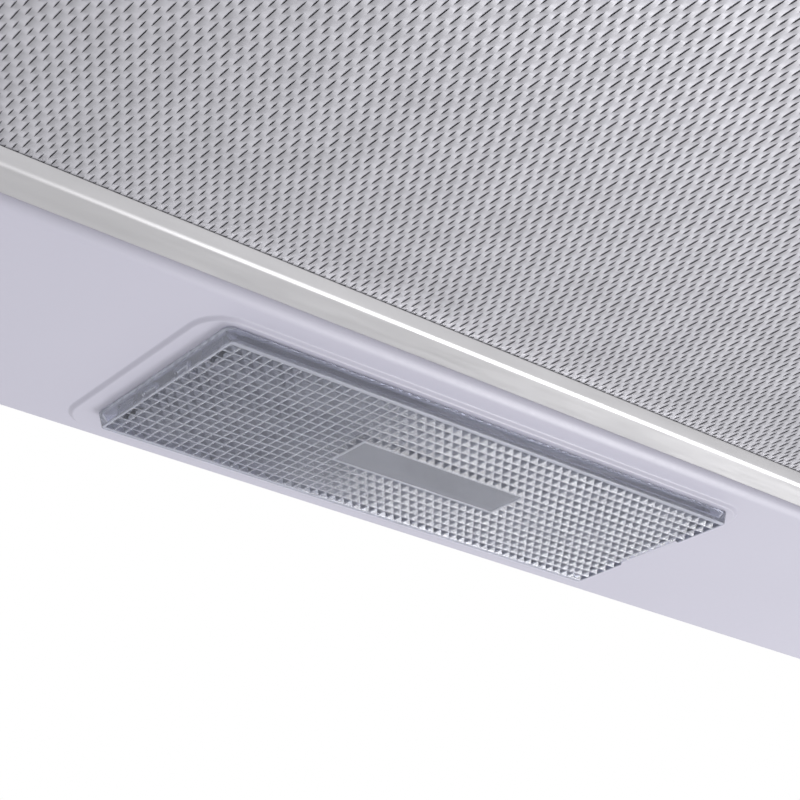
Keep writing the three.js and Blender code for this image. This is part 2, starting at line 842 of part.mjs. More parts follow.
// A layer of the filter pack, cut away round the latches and the rear tabs.
function filterLayer(low, high) {
  const inset = filterSkin + fitGap;
  const corner = Math.max(filterRadius - inset, 0.5);
  const outline = roundRect(filterWidth - 2 * inset, filterDepth - 2 * inset, corner, 0, openY);
  const [under, over] = [bottomZ, bottomZ + filterThickness + 2];
  let layer = prism(outline, bottomZ + low, bottomZ + high, 3);
  for (const [, side] of sides) {
    const latchX = side * latchSpread;
    const reach = latchWidth / 2 + fitGap;
    const latchBack = filterFront + inset + latchLength + fitGap;
    layer = cut(
      layer,
      block(latchX - reach, latchX + reach, filterFront, latchBack, under, over),
    );
    const tabX = side * tabSpread;
    const halfTab = tabWidth / 2 + fitGap;
    const tabFront = filterBack - tabInside - fitGap;
    layer = cut(
      layer,
      block(tabX - halfTab, tabX + halfTab, tabFront, filterBack, under, over),
    );
  }
  return layer;
}

// A steel tab riveted into the back of the frame, which hooks into the tray's flange.
function filterTab(side) {
  const tabX = side * tabSpread;
  const [x0, x1] = [tabX - tabWidth / 2, tabX + tabWidth / 2];
  const z0 = bottomZ + tabLevel;
  return join(
    block(x0, x1, filterBack - tabInside, filterBack + tabReach, z0, z0 + tabSheet),
    block(
      x0,
      x1,
      filterBack - filterSkin - fitGap - tabSheet,
      filterBack - filterSkin - fitGap,
      bottomZ + filterSkin + fitGap,
      z0 + 1,
    ),
  );
}

const latchOuter = filterFront + filterSkin + fitGap;
const latchInner = latchOuter + latchLength;
const lipEdge = filterFront + filterLip + filterBevel + fitGap;

function latchHousing(side) {
  const latchX = side * latchSpread;
  const half = latchWidth / 2;
  const over = bottomZ + filterBevel + fitGap;
  const top = bottomZ + filterThickness - filterSkin - fitGap;
  const body = join(
    block(latchX - half, latchX + half, latchOuter, latchInner, over, top),
    block(latchX - half, latchX + half, lipEdge, latchInner, bottomZ + 0.4, over + 1),
  );
  const pocket = block(
    latchX - half + latchWall,
    latchX + half - latchWall,
    lipEdge + 1.7,
    latchInner - 2,
    bottomZ - 1,
    top - 1.4,
  );
  const channel = block(
    latchX - tongueWidth / 2 - 0.4,
    latchX + tongueWidth / 2 + 0.4,
    latchOuter - 1,
    lipEdge + 3,
    bottomZ + latchSlot.low,
    bottomZ + latchSlot.high,
  );
  return cut(body, pocket, channel);
}

function latchSlider(side) {
  const latchX = side * latchSpread;
  const wing = latchWidth / 2 - latchWall - 0.6;
  const wingFront = lipEdge + 2.2;
  const wingBack = latchInner - 2 - latchTravel - 1.2;
  const z0 = bottomZ + tongueLevel;
  const z1 = z0 + tongueSheet;
  const halfTongue = tongueWidth / 2;
  const tip = block(
    latchX - halfTongue,
    latchX + halfTongue,
    filterFront - tongueReach,
    wingFront + 2,
    z0,
    z1,
  );
  const ribs = [0, 1, 2].map((i) => {
    const y = wingFront + 2 + i * 3.2;
    return block(latchX - wing + 4, latchX + wing - 4, y, y + 1.3, z0 - 1.2, z0 + 0.5);
  });
  return join(
    tip,
    block(latchX - wing, latchX + wing, wingFront, wingBack, z0, z1),
    block(latchX - wing, latchX + wing, wingBack - 2, wingBack, bottomZ + 1, z1),
    ...ribs,
  );
}

// ---------------------------------------------------------------- lamp
function lampCover() {
  const base = { width: coverWidth, depth: coverDepth, radius: 3, x: 0, y: lampY };
  const lean = coverDraft;
  const edge = 0.5; // soft lower edge
  const own = {
    width: coverWidth + 2 * lean,
    depth: coverDepth + 2 * coverSideDraft,
    radius: 3.5,
    x: 0,
    y: lampY,
  };
  let cover = cut(
    loft(
      base,
      [
        { z: coverBottom, offset: -edge },
        { z: coverBottom + edge * 0.3, offset: -edge * 0.3 },
        { z: coverBottom + edge, offset: 0 },
        { z: coverTop, offset: 0, own },
      ],
      2,
    ),
    loft(
      base,
      [
        { z: coverBottom + coverFace, offset: -coverWall },
        { z: coverTop + 1, offset: -coverWall, own },
      ],
      2,
    ),
  );
  const opening = lampOpeningWidth / 2;
  const root = coverBottom + coverFace - 0.4;
  const hookLow = bottomZ + hookHeight;
  const hookHigh = hookLow + hookSheet;
  for (const y of [lampY - hookSpread, lampY + hookSpread]) {
    const [y0, y1] = [y - hookWidth / 2, y + hookWidth / 2];
    const inner = -opening + hookClearance;
    const outer = opening - hookClearance;
    cover = join(
      cover,
      block(inner, inner + hookShank, y0, y1, root, hookHigh),
      block(-opening - hookReach, inner + hookShank, y0, y1, hookLow, hookHigh),
      block(outer - hookShank, outer, y0, y1, root, hookLow),
    );
  }
  const notch = block(
    coverWidth / 2 - notchDepth,
    coverWidth / 2 + lean + 1,
    lampY - notchWidth / 2,
    lampY + notchWidth / 2,
    coverBottom - 1,
    coverBottom + coverFace - 0.6,
  );
  return cut(cover, notch);
}

const housingInset = bossRun + sheet + 0.5;
const housing = {
  x: bossWidth / 2 - housingInset,
  front: bossY - bossDepth / 2 + housingInset,
  back: bossY + bossDepth / 2 - housingInset,
  low: bottomZ + fitGap,
  high: bottomZ + fitGap + lampHousingHeight,
  corner: bossRadius - housingInset + 0.2,
};
const bulbZ = bottomZ + lampAxisHeight;
const socketX = housing.x - lampHousingSheet - 4;

function lampHousing() {
  const outer = roundRect(
    2 * housing.x,
    housing.back - housing.front,
    housing.corner,
    0,
    (housing.back + housing.front) / 2,
  );
  const inner = roundRect(
    2 * (housing.x - lampHousingSheet),
    housing.back - housing.front - 2 * lampHousingSheet,
    housing.corner - lampHousingSheet,
    0,
    (housing.back + housing.front) / 2,
  );
  return cut(
    prism(outer, housing.low, housing.high),
    prism(inner, housing.low - 1, housing.high - lampHousingSheet),
    alongX(circle(lampY, bulbZ, 5), housing.x - 2, housing.x + 1),
  );
}

function holderBracket() {
  const thickness = 1.2;
  const top = housing.high - lampHousingSheet - fitGap;
  const x1 = socketX + thickness + 0.4;
  return cut(
    join(
      block(x1 - thickness, x1, lampY - 12, lampY + 12, bulbZ - 14, top),
      block(x1 - 16, x1, lampY - 12, lampY + 12, top - thickness, top),
    ),
    alongX(circle(lampY, bulbZ, 4), x1 - 3, x1 + 1),
  );
}

function lampHolder() {
  const back = socketX;
  const front = socketX - socketLength;
  const bore = bulbCapRadius + 0.6;
  return turnedX(
    [
      [0, back],
      [socketRadius - 2.5, back],
      [socketRadius, back - 4],
      [socketRadius, front + 2],
      [socketRadius - 1.5, front],
      [bore, front],
      [bore, back - 5],
      [0, back - 5],
    ],
    lampY,
    bulbZ,
    24,
  );
}

const capBack = socketX - 5 - 0.4;
const capFront = capBack - bulbCapLength - 3;

function bulbCap() {
  const profile = [
    [0, capBack],
    [3, capBack],
    [3.6, capBack - 2],
    [bulbCapRadius - 1, capBack - 3.4],
  ];
  const turns = 4;
  const pitch = (bulbCapLength - 5) / turns;
  for (let i = 0; i < turns; i++) {
    const x = capBack - 3.8 - i * pitch;
    profile.push([bulbCapRadius, x - pitch * 0.3]);
    profile.push([bulbCapRadius - 0.9, x - pitch * 0.8]);
  }
  profile.push([bulbCapRadius, capFront], [0, capFront]);
  return turnedX(profile, lampY, bulbZ, 16);
}

function bulbGlass() {
  const neck = capFront - fitGap;
  const outer = [];
  const inner = [];
  const steps = 9;
  const length = bulbLength - bulbCapLength;
  for (let i = 0; i <= steps; i++) {
    const share = i / steps;
    const swell = Math.sin(Math.PI * Math.pow(share, 0.72));
    const taper = bulbCapRadius * (1 - share) ** 2;
    const radius = i === steps ? 0 : bulbRadius * Math.pow(Math.max(swell, 0), 0.85) + taper;
    outer.push([radius, neck - length * share]);
    const inside = neck - (length - bulbWall) * share;
    if (i < steps) inner.push([Math.max(radius - bulbWall, 0.1), inside]);
  }
  inner.push([0, neck - length + bulbWall]);
  return turnedX([...outer, ...inner.reverse(), [bulbCapRadius, neck]], lampY, bulbZ, 16);
}

// ---------------------------------------------------------------- blower
// Points round the volute, clockwise seen from above, then out along the outlet.
function voluteOutline(inset, outletX) {
  const points = [];
  const steps = 30;
  const sweep = 270 + cutoffAngle;
  for (let i = 0; i <= steps; i++) {
    const share = i / steps;
    const angle = THREE.MathUtils.degToRad(cutoffAngle - sweep * share);
    const radius = scrollStart + (scrollEnd - scrollStart) * share - inset;
    points.push([fanX + radius * Math.cos(angle), fanY + radius * Math.sin(angle)]);
  }
  points.push([outletX, fanY + scrollEnd - inset]);
  points.push([outletX, fanY + outletInner + inset]);
  return polygon(points.reverse());
}

const outletEnd = -plenumHalf - fitGap;

function scrollShell() {
  return cut(
    prism(voluteOutline(0, outletEnd), scrollBottom, scrollTop),
    prism(voluteOutline(scrollWall, outletEnd + 5), scrollBottom + scrollWall, scrollTop - scrollWall),
  );
}

function scrollLower() {
  return cut(
    scrollShell(),
    block(-300, 0, fanY - 150, fanY + 150, scrollSplit, scrollTop + 1),
    disc(fanX, fanY, scrollBottom - 1, scrollBottom + 3, inletRadius + 7.3, 40),
  );
}

function scrollUpper() {
  const half = cut(
    scrollShell(),
    block(-300, 0, fanY - 150, fanY + 150, scrollBottom - 1, scrollSplit + fitGap),
  );
  const spots = [-scrollPostSpread, scrollPostSpread];
  const posts = spots.flatMap((dx) =>
    spots.map((dy) => disc(fanX + dx, fanY + dy, scrollTop - 1, underTop, scrollPost, 16)),
  );
  return join(half, ...posts);
}

function inletRing() {
  return turned(
    [
      [inletRadius, scrollBottom + 2],
      [inletRadius + 1, scrollBottom - 2],
      [inletRadius + 6, scrollBottom - 4],
      [inletRadius + 14, scrollBottom - 4],
      [inletRadius + 14, scrollBottom - 0.5],
      [inletRadius + 6.8, scrollBottom - 0.5],
      [inletRadius + 3, scrollBottom + 2],
      [inletRadius, scrollBottom + 2],
    ],
    fanX,
    fanY,
  );
}

const bladeLow = scrollBottom + scrollWall + impellerGap;
const backplateLow = scrollTop - scrollWall - backplateDrop;

function impeller() {
  const plate = disc(fanX, fanY, backplateLow, backplateLow + plateSheet, impellerRadius, 48);
  const rim = ring(fanX, fanY, bladeLow - 2, bladeLow + 1, impellerInner, impellerRadius, 48);
  const hub = disc(fanX, fanY, backplateLow - hubLength, backplateLow + 3, hubRadius, 20);
  const blades = [];
  for (let i = 0; i < bladeCount; i++) {
    const turn = (2 * Math.PI * i) / bladeCount;
    blades.push(prism(bladeShape(turn), bladeLow, backplateLow + 1));
  }
  const boreLow = backplateLow - hubLength - 1;
  const bore = disc(fanX, fanY, boreLow, backplateLow + 4, shaftRadius + fitGap, 20);
  return cut(join(plate, rim, hub, ...blades), bore);
}

// A forward curved blade: a thin arc from the drum's inner to its outer radius.
function bladeShape(turn) {
  const inset = 1;
  const [near, far] = [impellerInner + inset, impellerRadius - inset];
  const steps = 2;
  const [front, rear] = [[], []];
  for (let i = 0; i <= steps; i++) {
    const share = i / steps;
    const radius = near + (far - near) * share;
    const angle = turn - 0.12 * share * share;
    const half = bladeSheet / 2 / radius;
    front.push([fanX + radius * Math.cos(angle + half), fanY + radius * Math.sin(angle + half)]);
    rear.push([fanX + radius * Math.cos(angle - half), fanY + radius * Math.sin(angle - half)]);
  }
  return polygon([...front.reverse(), ...rear]);
}

const motorLow = scrollBottom - motorDrop;
const motorHigh = backplateLow - motorGap;

function motorBody() {
  const bore = shaftRadius + shaftClearance;
  return turned(
    [
      [0, motorLow],
      [motorRadius - 6, motorLow],
      [motorRadius, motorLow + 6],
      [motorRadius, motorHigh - 8],
      [motorRadius - 8, motorHigh - 2],
      [12, motorHigh - 2],
      [12, motorHigh],
      [bore, motorHigh],
      [bore, motorHigh - motorBore],
      [0, motorHigh - motorBore],
    ],
    fanX,
    fanY,
    32,
  );
}

function motorShaft() {
  return turned(
    [
      [0, motorHigh - motorBore + 1],
      [shaftRadius, motorHigh - motorBore + 1],
      [shaftRadius, backplateLow + 6],
      [shaftRadius - 1, backplateLow + 7],
      [0, backplateLow + 7],
    ],
    fanX,
    fanY,
    20,
  );
}

const bracketTop = motorLow - fitGap;

function isolatorSpot(degrees) {
  const angle = THREE.MathUtils.degToRad(degrees);
  return [fanX + isolatorRing * Math.cos(angle), fanY + isolatorRing * Math.sin(angle)];
}

function motorBracket() {
  const low = bracketTop - bracketSheet;
  const arms = isolatorAngles.map((degrees) => {
    const [x, y] = isolatorSpot(degrees);
    const arm = new THREE.BoxGeometry(isolatorRing, bracketArm, bracketSheet);
    arm.translate(isolatorRing / 2, 0, low + bracketSheet / 2);
    arm.rotateZ(THREE.MathUtils.degToRad(degrees)).translate(fanX, fanY, 0);
    return join(solid(arm), disc(x, y, low, bracketTop, 9, 20));
  });
  return join(disc(fanX, fanY, low, bracketTop, 30, 32), ...arms);
}

function isolator(degrees) {
  const [x, y] = isolatorSpot(degrees);
  const [low, high] = [bracketTop + fitGap, scrollBottom - fitGap];
  return turned(
    [
      [0, low],
      [isolatorRadius, low],
      [isolatorRadius - 1.2, (low + high) / 2],
      [isolatorRadius, high],
      [0, high],
    ],
    x,
    y,
    16,
  );
}

function plenum() {
  const top = collarBase - fitGap;
  const shelf = housing.front - plenumSetback; // the floor steps up here, over the lamp
  const raised = housing.high + plenumLift;
  const outline = [
    [plenumFront, scrollBottom],
    [shelf, scrollBottom],
    [shelf, raised],
    [plenumBack, raised],
    [plenumBack, top],
    [plenumFront, top],
  ];
  const inner = insetPolygon(outline, scrollWall);
  const outletLow = scrollBottom + scrollWall;
  const outletHigh = scrollTop - scrollWall;
  return cut(
    alongX(polygon(outline), -plenumHalf, plenumHalf),
    alongX(polygon(inner), scrollWall - plenumHalf, plenumHalf - scrollWall),
    block(
      -plenumHalf - 1,
      -plenumHalf + scrollWall + 1,
      fanY + outletInner + scrollWall,
      fanY + scrollEnd - scrollWall,
      outletLow,
      outletHigh,
    ),
    disc(0, ductY, top - scrollWall - 1, top + 1, ductInner, 48),
  );
}

// ---------------------------------------------------------------- controls
const controlX = bodyWidth / 2 - controlInset;
const controlZ = bottomZ + fasciaHeight / 2;
const bezelFront = frontY - fitGap - bezelSheet;
const plateBack = frontY + bezelPlate;
const blockFront = frontY + switchStart;
const rowX = controlX - buttonShift;
const buttonSpots = buttonNames.map(
  (_, i) => rowX + (i - (buttonNames.length - 1) / 2) * buttonPitch,
);
const indicatorX = controlX + controlWidth / 2 - indicatorInset;

function controlBezel() {
  const rim = roundRect(
    controlWidth + 2 * bezelRim,
    controlHeight + 2 * bezelRim,
    5,
    controlX,
    controlZ,
  );
  const sleeve = roundRect(controlWidth - 1, controlHeight - 1, 2.5, controlX, controlZ);
  const hollow = roundRect(controlWidth - 5, controlHeight - 5, 1.5, controlX, controlZ);
  let bezel = join(
    alongY(rim, bezelFront, frontY - fitGap, 0.8),
    alongY(sleeve, bezelFront + 1, frontY + bezelDepth),
  );
  bezel = cut(bezel, alongY(hollow, plateBack, frontY + bezelDepth + 1));
  for (const x of buttonSpots) {
    const hole = roundRect(buttonWidth + 2 * buttonGap, buttonHeight + 2 * buttonGap, 2, x, controlZ);
    bezel = cut(bezel, alongY(hole, bezelFront - 1, plateBack + 1));
  }
  const lampHole = circle(indicatorX, controlZ, indicatorRadius + fitGap);
  return cut(bezel, alongY(lampHole, bezelFront - 1, plateBack + 1, 0, 8));
}

function button(x) {
  const cap = roundRect(buttonWidth, buttonHeight, 1.6, x, controlZ);
  const width = buttonWidth + 2 * buttonStop;
  const stop = roundRect(width, buttonHeight + 2 * buttonStop, 1.6, x, controlZ);
  const stem = circle(x, controlZ, stemRadius);
  const back = frontY + buttonBack;
  return join(
    alongY(cap, bezelFront - buttonProud, back, 0.7, 1),
    alongY(stop, plateBack + fitGap, plateBack + 2, 0, 1),
    alongY(stem, back - 1, blockFront + 5, 0, 5),
  );
}

function switchBlock() {
  const half = (buttonNames.length * buttonPitch) / 2 + 4;
  const [low, high] = [bottomZ + flangeHeight + 1, controlZ + 10]; // clear of the tray's flange
  let body = block(rowX - half, rowX + half, blockFront, blockFront + switchDepth, low, high);
  for (const x of buttonSpots) {
    const bore = circle(x, controlZ, stemRadius + 0.6);
    body = cut(body, alongY(bore, blockFront - 1, blockFront + switchDepth / 2, 0, 5));
  }
  const earFront = frontY + bezelDepth + fitGap;
  const ears = [rowX - half, rowX + half].map((x) =>
    block(x - 1.5, x + 1.5, earFront, blockFront + 8, controlZ - 8, controlZ + 8),
  );
  return join(body, ...ears);
}

function indicatorLens() {
  const lens = circle(indicatorX, controlZ, indicatorRadius);
  const seat = circle(indicatorX, controlZ, indicatorRadius + 1.2);
  return join(
    alongY(lens, bezelFront - 0.8, frontY + 8, 0.6, 8),
    alongY(seat, plateBack + fitGap, plateBack + 2, 0, 8),
  );
}

// ---------------------------------------------------------------- wiring
function cableGland() {
  return turned(
    [
      [glandBore, -12],
      [glandFlange - 3.5, -12],
      [glandFlange - 3.5, -6],
      [glandFlange, -6],
      [glandFlange, underTop],
      [glandNose, underTop],
      [glandNose, 8],
      [glandNose - 1.5, 12],
      [glandBore, 12],
      [glandBore, -12],
    ],
    glandX,
    glandY,
    24,
  );
}

const terminals = {
  x: glandX - glandFlange - terminalGap - terminalWidth / 2,
  y: backY - terminalSetback - terminalDepth / 2,
  plate: 2,
  step: 3,
  wall: 2,
};

// A rectangle centred on the terminal box, smaller than it by an inset all round.
const terminalShape = (inset, radius) =>
  roundRect(
    terminalWidth - 2 * inset,
    terminalDepth - 2 * inset,
    radius,
    terminals.x,
    terminals.y,
  );

function terminalBase() {
  const { plate, step } = terminals;
  return join(
    prism(terminalShape(0, 1), underTop - plate, underTop, 1),
    prism(terminalShape(step, 1), underTop - plate - step, underTop - 1, 1),
  );
}

function terminalCover() {
  const { x, y, plate, wall } = terminals;
  const top = underTop - plate - fitGap;
  const side = x + terminalWidth / 2;
  const corner = 4;
  return cut(
    softPrism(terminalShape(0, corner), top - terminalHeight, top + corner, 2, 2),
    prism(terminalShape(-1, corner), top, top + corner + 1, 1),
    prism(terminalShape(wall, corner - wall), top - terminalHeight + wall, top + 1, 2),
    alongX(circle(y, top - 12, 6), side - wall - 2, side + 1),
  );
}

function terminalBlock() {
  const { x, y, plate, step } = terminals;
  const top = underTop - plate - step - fitGap;
  const pitch = 9;
  const half = (terminalWays * pitch) / 2 + 1.5;
  let body = block(x - half, x + half, y - 9, y + 9, top - 14, top);
  for (let i = 0; i < terminalWays; i++) {
    const spot = x + (i - (terminalWays - 1) / 2) * pitch;
    body = cut(body, disc(spot, y, top - 15, top - 9, 2.6, 10));
  }
  return body;
}

const capacitor = {
  x0: bodyWidth / 2 - capacitorInset,
  x1: bodyWidth / 2 - capacitorInset + capacitorLength,
  y: backY - capacitorSetback,
  z: -capacitorDrop,
};

function capacitorCan() {
  const { x0, x1, y, z } = capacitor;
  const radius = capacitorRadius;
  const profile = [
    [0, x0],
    [radius - 2, x0],
    [radius, x0 + 2],
    [radius, x1 - 2],
    [radius - 2, x1],
    [4, x1],
    [4, x1 + 6],
    [0, x1 + 6],
  ];
  return turnedX(profile, y, z, 24);
}

// A band that hangs the capacitor from the top plate.
function capacitorClip() {
  const { x0, x1, y, z } = capacitor;
  const middle = (x0 + x1) / 2;
  const inner = capacitorRadius + fitGap;
  const outer = inner + clipSheet;
  const foot = outer + 10;
  const under = underTop - clipSheet;
  const band = new THREE.Shape();
  band.moveTo(y - foot, underTop);
  band.lineTo(y - foot, under);
  band.lineTo(y - outer, under);
  band.lineTo(y - outer, z);
  band.absarc(y, z, outer, Math.PI, 2 * Math.PI);
  band.lineTo(y + outer, under);
  band.lineTo(y + foot, under);
  band.lineTo(y + foot, underTop);
  band.lineTo(y + inner, underTop);
  band.absarc(y, z, inner, 0, Math.PI, true);
  band.lineTo(y - inner, underTop);
  band.closePath();
  return alongX(band, middle - 8, middle + 8, 0, 6);
}

// ---------------------------------------------------------------- assembly
addNode("canopy", canopy(), "paint");
addNode("lower_tray", lowerTray(), "paint");
for (const [name, side] of sides) {
  for (const [place, y] of screwSpots) {
    addNode(`case_screw_${name}_${place}`, caseScrew(side, y), "steel");
  }
  addNode(`mount_rail_${name}`, mountRail(side), "galvanised");
}

addNode("outlet_collar", outletCollar(), "white");
addNode("damper_pin", damperPin(), "steel");
addNode("damper_flap_front", damperFlap(-1), "grey");
addNode("damper_flap_rear", damperFlap(1), "grey");

const layerFloor = filterBevel + fitGap;
const layerRoof = filterThickness - filterSkin - fitGap;
addNode("filter_frame", filterFrame(), "aluminium");
addNode("filter_mesh_lower", filterLayer(layerFloor, layerFloor + meshSheet), "mesh");
addNode(
  "filter_core",
  filterLayer(layerFloor + meshSheet + fitGap, layerRoof - upperMesh - fitGap),
  "mesh",
);
addNode("filter_mesh_upper", filterLayer(layerRoof - upperMesh, layerRoof), "mesh");
for (const [name, side] of sides) {
  addNode(`filter_tab_${name}`, filterTab(side), "steel");
  addNode(`latch_housing_${name}`, latchHousing(side), "grey");
  addNode(`latch_slider_${name}`, latchSlider(side), "white");
}

addNode("lamp_cover", lampCover(), "clear");
addNode("lamp_housing", lampHousing(), "galvanised");
addNode("holder_bracket", holderBracket(), "galvanised");
addNode("lamp_holder", lampHolder(), "ceramic");
addNode("bulb_cap", bulbCap(), "brass");
addNode("bulb_glass", bulbGlass(), "bulb");

addNode("scroll_lower", scrollLower(), "grey");
addNode("scroll_upper", scrollUpper(), "grey");
addNode("inlet_ring", inletRing(), "black");
addNode("impeller", impeller(), "black");
addNode("motor_shaft", motorShaft(), "steel");
addNode("motor_body", motorBody(), "galvanised");
addNode("motor_bracket", motorBracket(), "galvanised");
isolatorAngles.forEach((degrees, i) => {
  addNode(`isolator_${i + 1}`, isolator(degrees), "rubber");
});
addNode("plenum", plenum(), "grey");

addNode("control_bezel", controlBezel(), "white");
buttonSpots.forEach((x, i) => addNode(`button_${buttonNames[i]}`, button(x), "white"));
addNode("switch_block", switchBlock(), "black");
addNode("indicator_lens", indicatorLens(), "amber");

addNode("cable_gland", cableGland(), "black");
addNode("terminal_base", terminalBase(), "white");
addNode("terminal_cover", terminalCover(), "white");
addNode("terminal_block", terminalBlock(), "white");
addNode("capacitor", capacitorCan(), "white");
addNode("capacitor_clip", capacitorClip(), "galvanised");

export default hood;
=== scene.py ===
import json
import math

import bmesh
import bpy
import numpy as np
from mathutils import Euler, Matrix, Vector


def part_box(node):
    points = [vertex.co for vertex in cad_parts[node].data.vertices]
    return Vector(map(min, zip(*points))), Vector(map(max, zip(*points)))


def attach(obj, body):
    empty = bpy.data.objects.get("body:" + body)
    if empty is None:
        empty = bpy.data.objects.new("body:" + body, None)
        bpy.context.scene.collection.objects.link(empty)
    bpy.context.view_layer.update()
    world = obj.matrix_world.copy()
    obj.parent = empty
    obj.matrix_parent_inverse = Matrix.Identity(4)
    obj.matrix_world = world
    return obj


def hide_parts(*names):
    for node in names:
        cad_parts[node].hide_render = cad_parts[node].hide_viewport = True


MM = 0.001
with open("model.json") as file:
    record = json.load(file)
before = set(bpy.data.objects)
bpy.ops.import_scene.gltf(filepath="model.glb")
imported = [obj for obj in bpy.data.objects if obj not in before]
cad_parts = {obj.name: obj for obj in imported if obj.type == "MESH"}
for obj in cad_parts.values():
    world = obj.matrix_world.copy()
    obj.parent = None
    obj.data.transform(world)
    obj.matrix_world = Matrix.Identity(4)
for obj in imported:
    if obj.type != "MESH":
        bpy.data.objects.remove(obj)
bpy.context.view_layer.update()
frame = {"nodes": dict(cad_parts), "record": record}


def box_mm(node):
    low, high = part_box(node)
    return low / MM, high / MM


# ------------------------------------------------------------------ sizes, millimetres and degrees
tray_low, tray_high = box_mm("lower_tray")
filter_low, filter_high = box_mm("filter_frame")
mesh_low, _ = box_mm("filter_mesh_lower")
cover_low, cover_high = box_mm("lamp_cover")
bezel_low, bezel_high = box_mm("control_bezel")
collar_low, collar_high = box_mm("outlet_collar")

SHEET = 1.0
FIT_GAP = 0.3
CUT_PAST = 0.5  # how far a cut reaches beyond the sheet it goes through
EDGE_BEND = 2.0
CORNER_RADIUS = 2.4
RIM_CHAMFER = 0.3
LAP_HEIGHT = 9.0
NOSE_HEIGHT = 3.0
TOP_DEPTH = 300.0
BEZEL_SEAT = 4.0  # bezel beyond its opening in the fascia
SCREW_HOLE = 2.2  # radii of the holes
DUCT_HOLE = 60.0
GLAND_HOLE = 8.0
KEYHOLE_HEAD, KEYHOLE_SLOT = 6.0, 3.0
KEYHOLE_LENGTH = 12.0
KEYHOLE_INSET = 22.0  # keyhole to the end of its mounting rail

BOSS_HEIGHT = 1.0
BOSS_RUN = 1.6  # width of the boss's soft side
BOSS_UPPER_OUT = 0.15  # the sheet's upper side bends this much further out
BOSS_RADIUS = 10.0
BOSS_SIZE = (189.4, 75.5)
BOSS_SHIFT = 3.55  # the boss sits a little behind the middle of the cover
LAMP_OPENING = (169.0, 56.0)
LAMP_OPENING_RADIUS = 4.0

OPENING_GAP = 1.6  # filter to its opening
OPENING_RADIUS = 7.0
ROLL_RADIUS = 5.0
FLANGE_HEIGHT = 14.0

FRAME_LIP = 10.0
FRAME_BEVEL = 2.5
FRAME_SKIN = 1.0
FRAME_RADIUS = 5.4
FRAME_EDGE, FRAME_RIDGE = 0.9, 2.0  # radii of the strip's outer edges and bright ridge
MITRE_GAP = 0.05
MESH_UNDER_LIP = 4.0
LATCH_SPREAD = 150.0  # middle of the filter to a latch, and to a rear tab
TAB_SPREAD = 190.0
TONGUE_WIDTH, TONGUE_LEVEL, TONGUE_SHEET = 39.2, 4.3, 1.9
TAB_WIDTH, TAB_LEVEL, TAB_SHEET = 24.0, 5.0, 1.5
TONGUE_PLAY = (0.6, 0.4)  # room round a latch tongue, sideways and up
TAB_PLAY = 1.0
TAB_SWING = (1.5, 2.0)  # room below and above a tab, so that the filter can tilt

COVER_LEAN = 1.5
COVER_SIDE_LEAN = 0.4
COVER_WALL = 1.6
COVER_FACE = 1.8
COVER_EDGE = 0.35  # radius of the face's outer edge
COVER_FOOT_RADIUS, COVER_FACE_RADIUS = 2.6, 1.2
HOOK_SPREAD = 20.0
HOOK_WIDTH = 8.0
HOOK_SHANK = (0.35, 1.85)  # inward from the end of the lamp opening
HOOK_BARB = (-0.8, 1.0)
BARB_HEIGHT = 1.3
CATCH_HEIGHT = 1.5  # above the panel
WELD = 0.4  # how far a joined piece sinks into the cover
RIB_SPREAD = 7.5
RIB_WIDTH, RIB_DEPTH = 6.0, 1.2
RIB_GAP = 0.6  # rib to the panel
NOTCH_WIDTH, NOTCH_DEPTH = 24.0, 1.8
NOTCH_HEIGHT = 1.2  # above the cover's face

CELL_X, CELL_Y = 3.0, 5.0  # expanded mesh: short way and long way of a cell
SLIT_HALF, SLIT_CORE = 1.45, 0.45  # half length of a slit, and of its widest part
SLIT_OPEN = 0.04  # how far each lip of a slit moves aside
LEFT_LIP_LIFT, RIGHT_LIP_DROP = 0.12, 0.15  # the right lip is pressed down as a scale
STRAND, STRAND_LEAN = 0.31, 0.16  # height and lean of the cut edges

PRISMS = (57, 16)  # prisms along the cover and across it
PRISM_BORDER = (0.5, 1.4)  # plain border at the ends and along the sides
PRISM_DEPTH = 1.05
PRISM_LAND = 0.045  # half the flat ridge between two prisms
RIDGE_HIGHLIGHT_DEPTH = (0.0, 0.24)  # depth over which the painted highlight of the prism ridges gives way to the painted shade of the pits, and the plastic turns clear
LABEL_CELLS = (19, 4)
LABEL_SIZE = (56.0, 13.4)
LABEL_RADIUS = 0.3
LABEL_STEP = 0.1  # the patch is sunk a little

SHARP_ANGLE = 32.0  # degrees; a steeper edge stays sharp
MERGE_GAP = 0.002  # points closer than this become one
LEAST_RADIUS = 0.05

CAMERA_SPOT = (-280.0, -175.0, -337.9)
CAMERA_HEADING = 38.42  # degrees from straight ahead to the right
CAMERA_PITCH = 26.81  # degrees upwards
CAMERA_ROLL = 0.72
CAMERA_LENS = 78.57
FLOOR_LEVEL = -1650.0
FLOOR_REACH = 40000.0

panel_z = tray_low.z + BOSS_HEIGHT
boss_z = tray_low.z
seam_z = tray_high.z
body_width = tray_high.x - tray_low.x
body_depth = tray_high.y - tray_low.y
body_middle = (0.0, (tray_low.y + tray_high.y) / 2)
filter_middle = (0.0, (filter_low.y + filter_high.y) / 2)
filter_size = (filter_high.x - filter_low.x, filter_high.y - filter_low.y)
lamp_middle = (0.0, (cover_low.y + cover_high.y) / 2)
boss_middle = (0.0, lamp_middle[1] + BOSS_SHIFT)
duct_middle = ((collar_low.x + collar_high.x) / 2, (collar_low.y + collar_high.y) / 2)


def cover_size():
    width = cover_high.x - cover_low.x - 2 * COVER_LEAN
    depth = cover_high.y - cover_low.y - 2 * COVER_SIDE_LEAN
    return width, depth


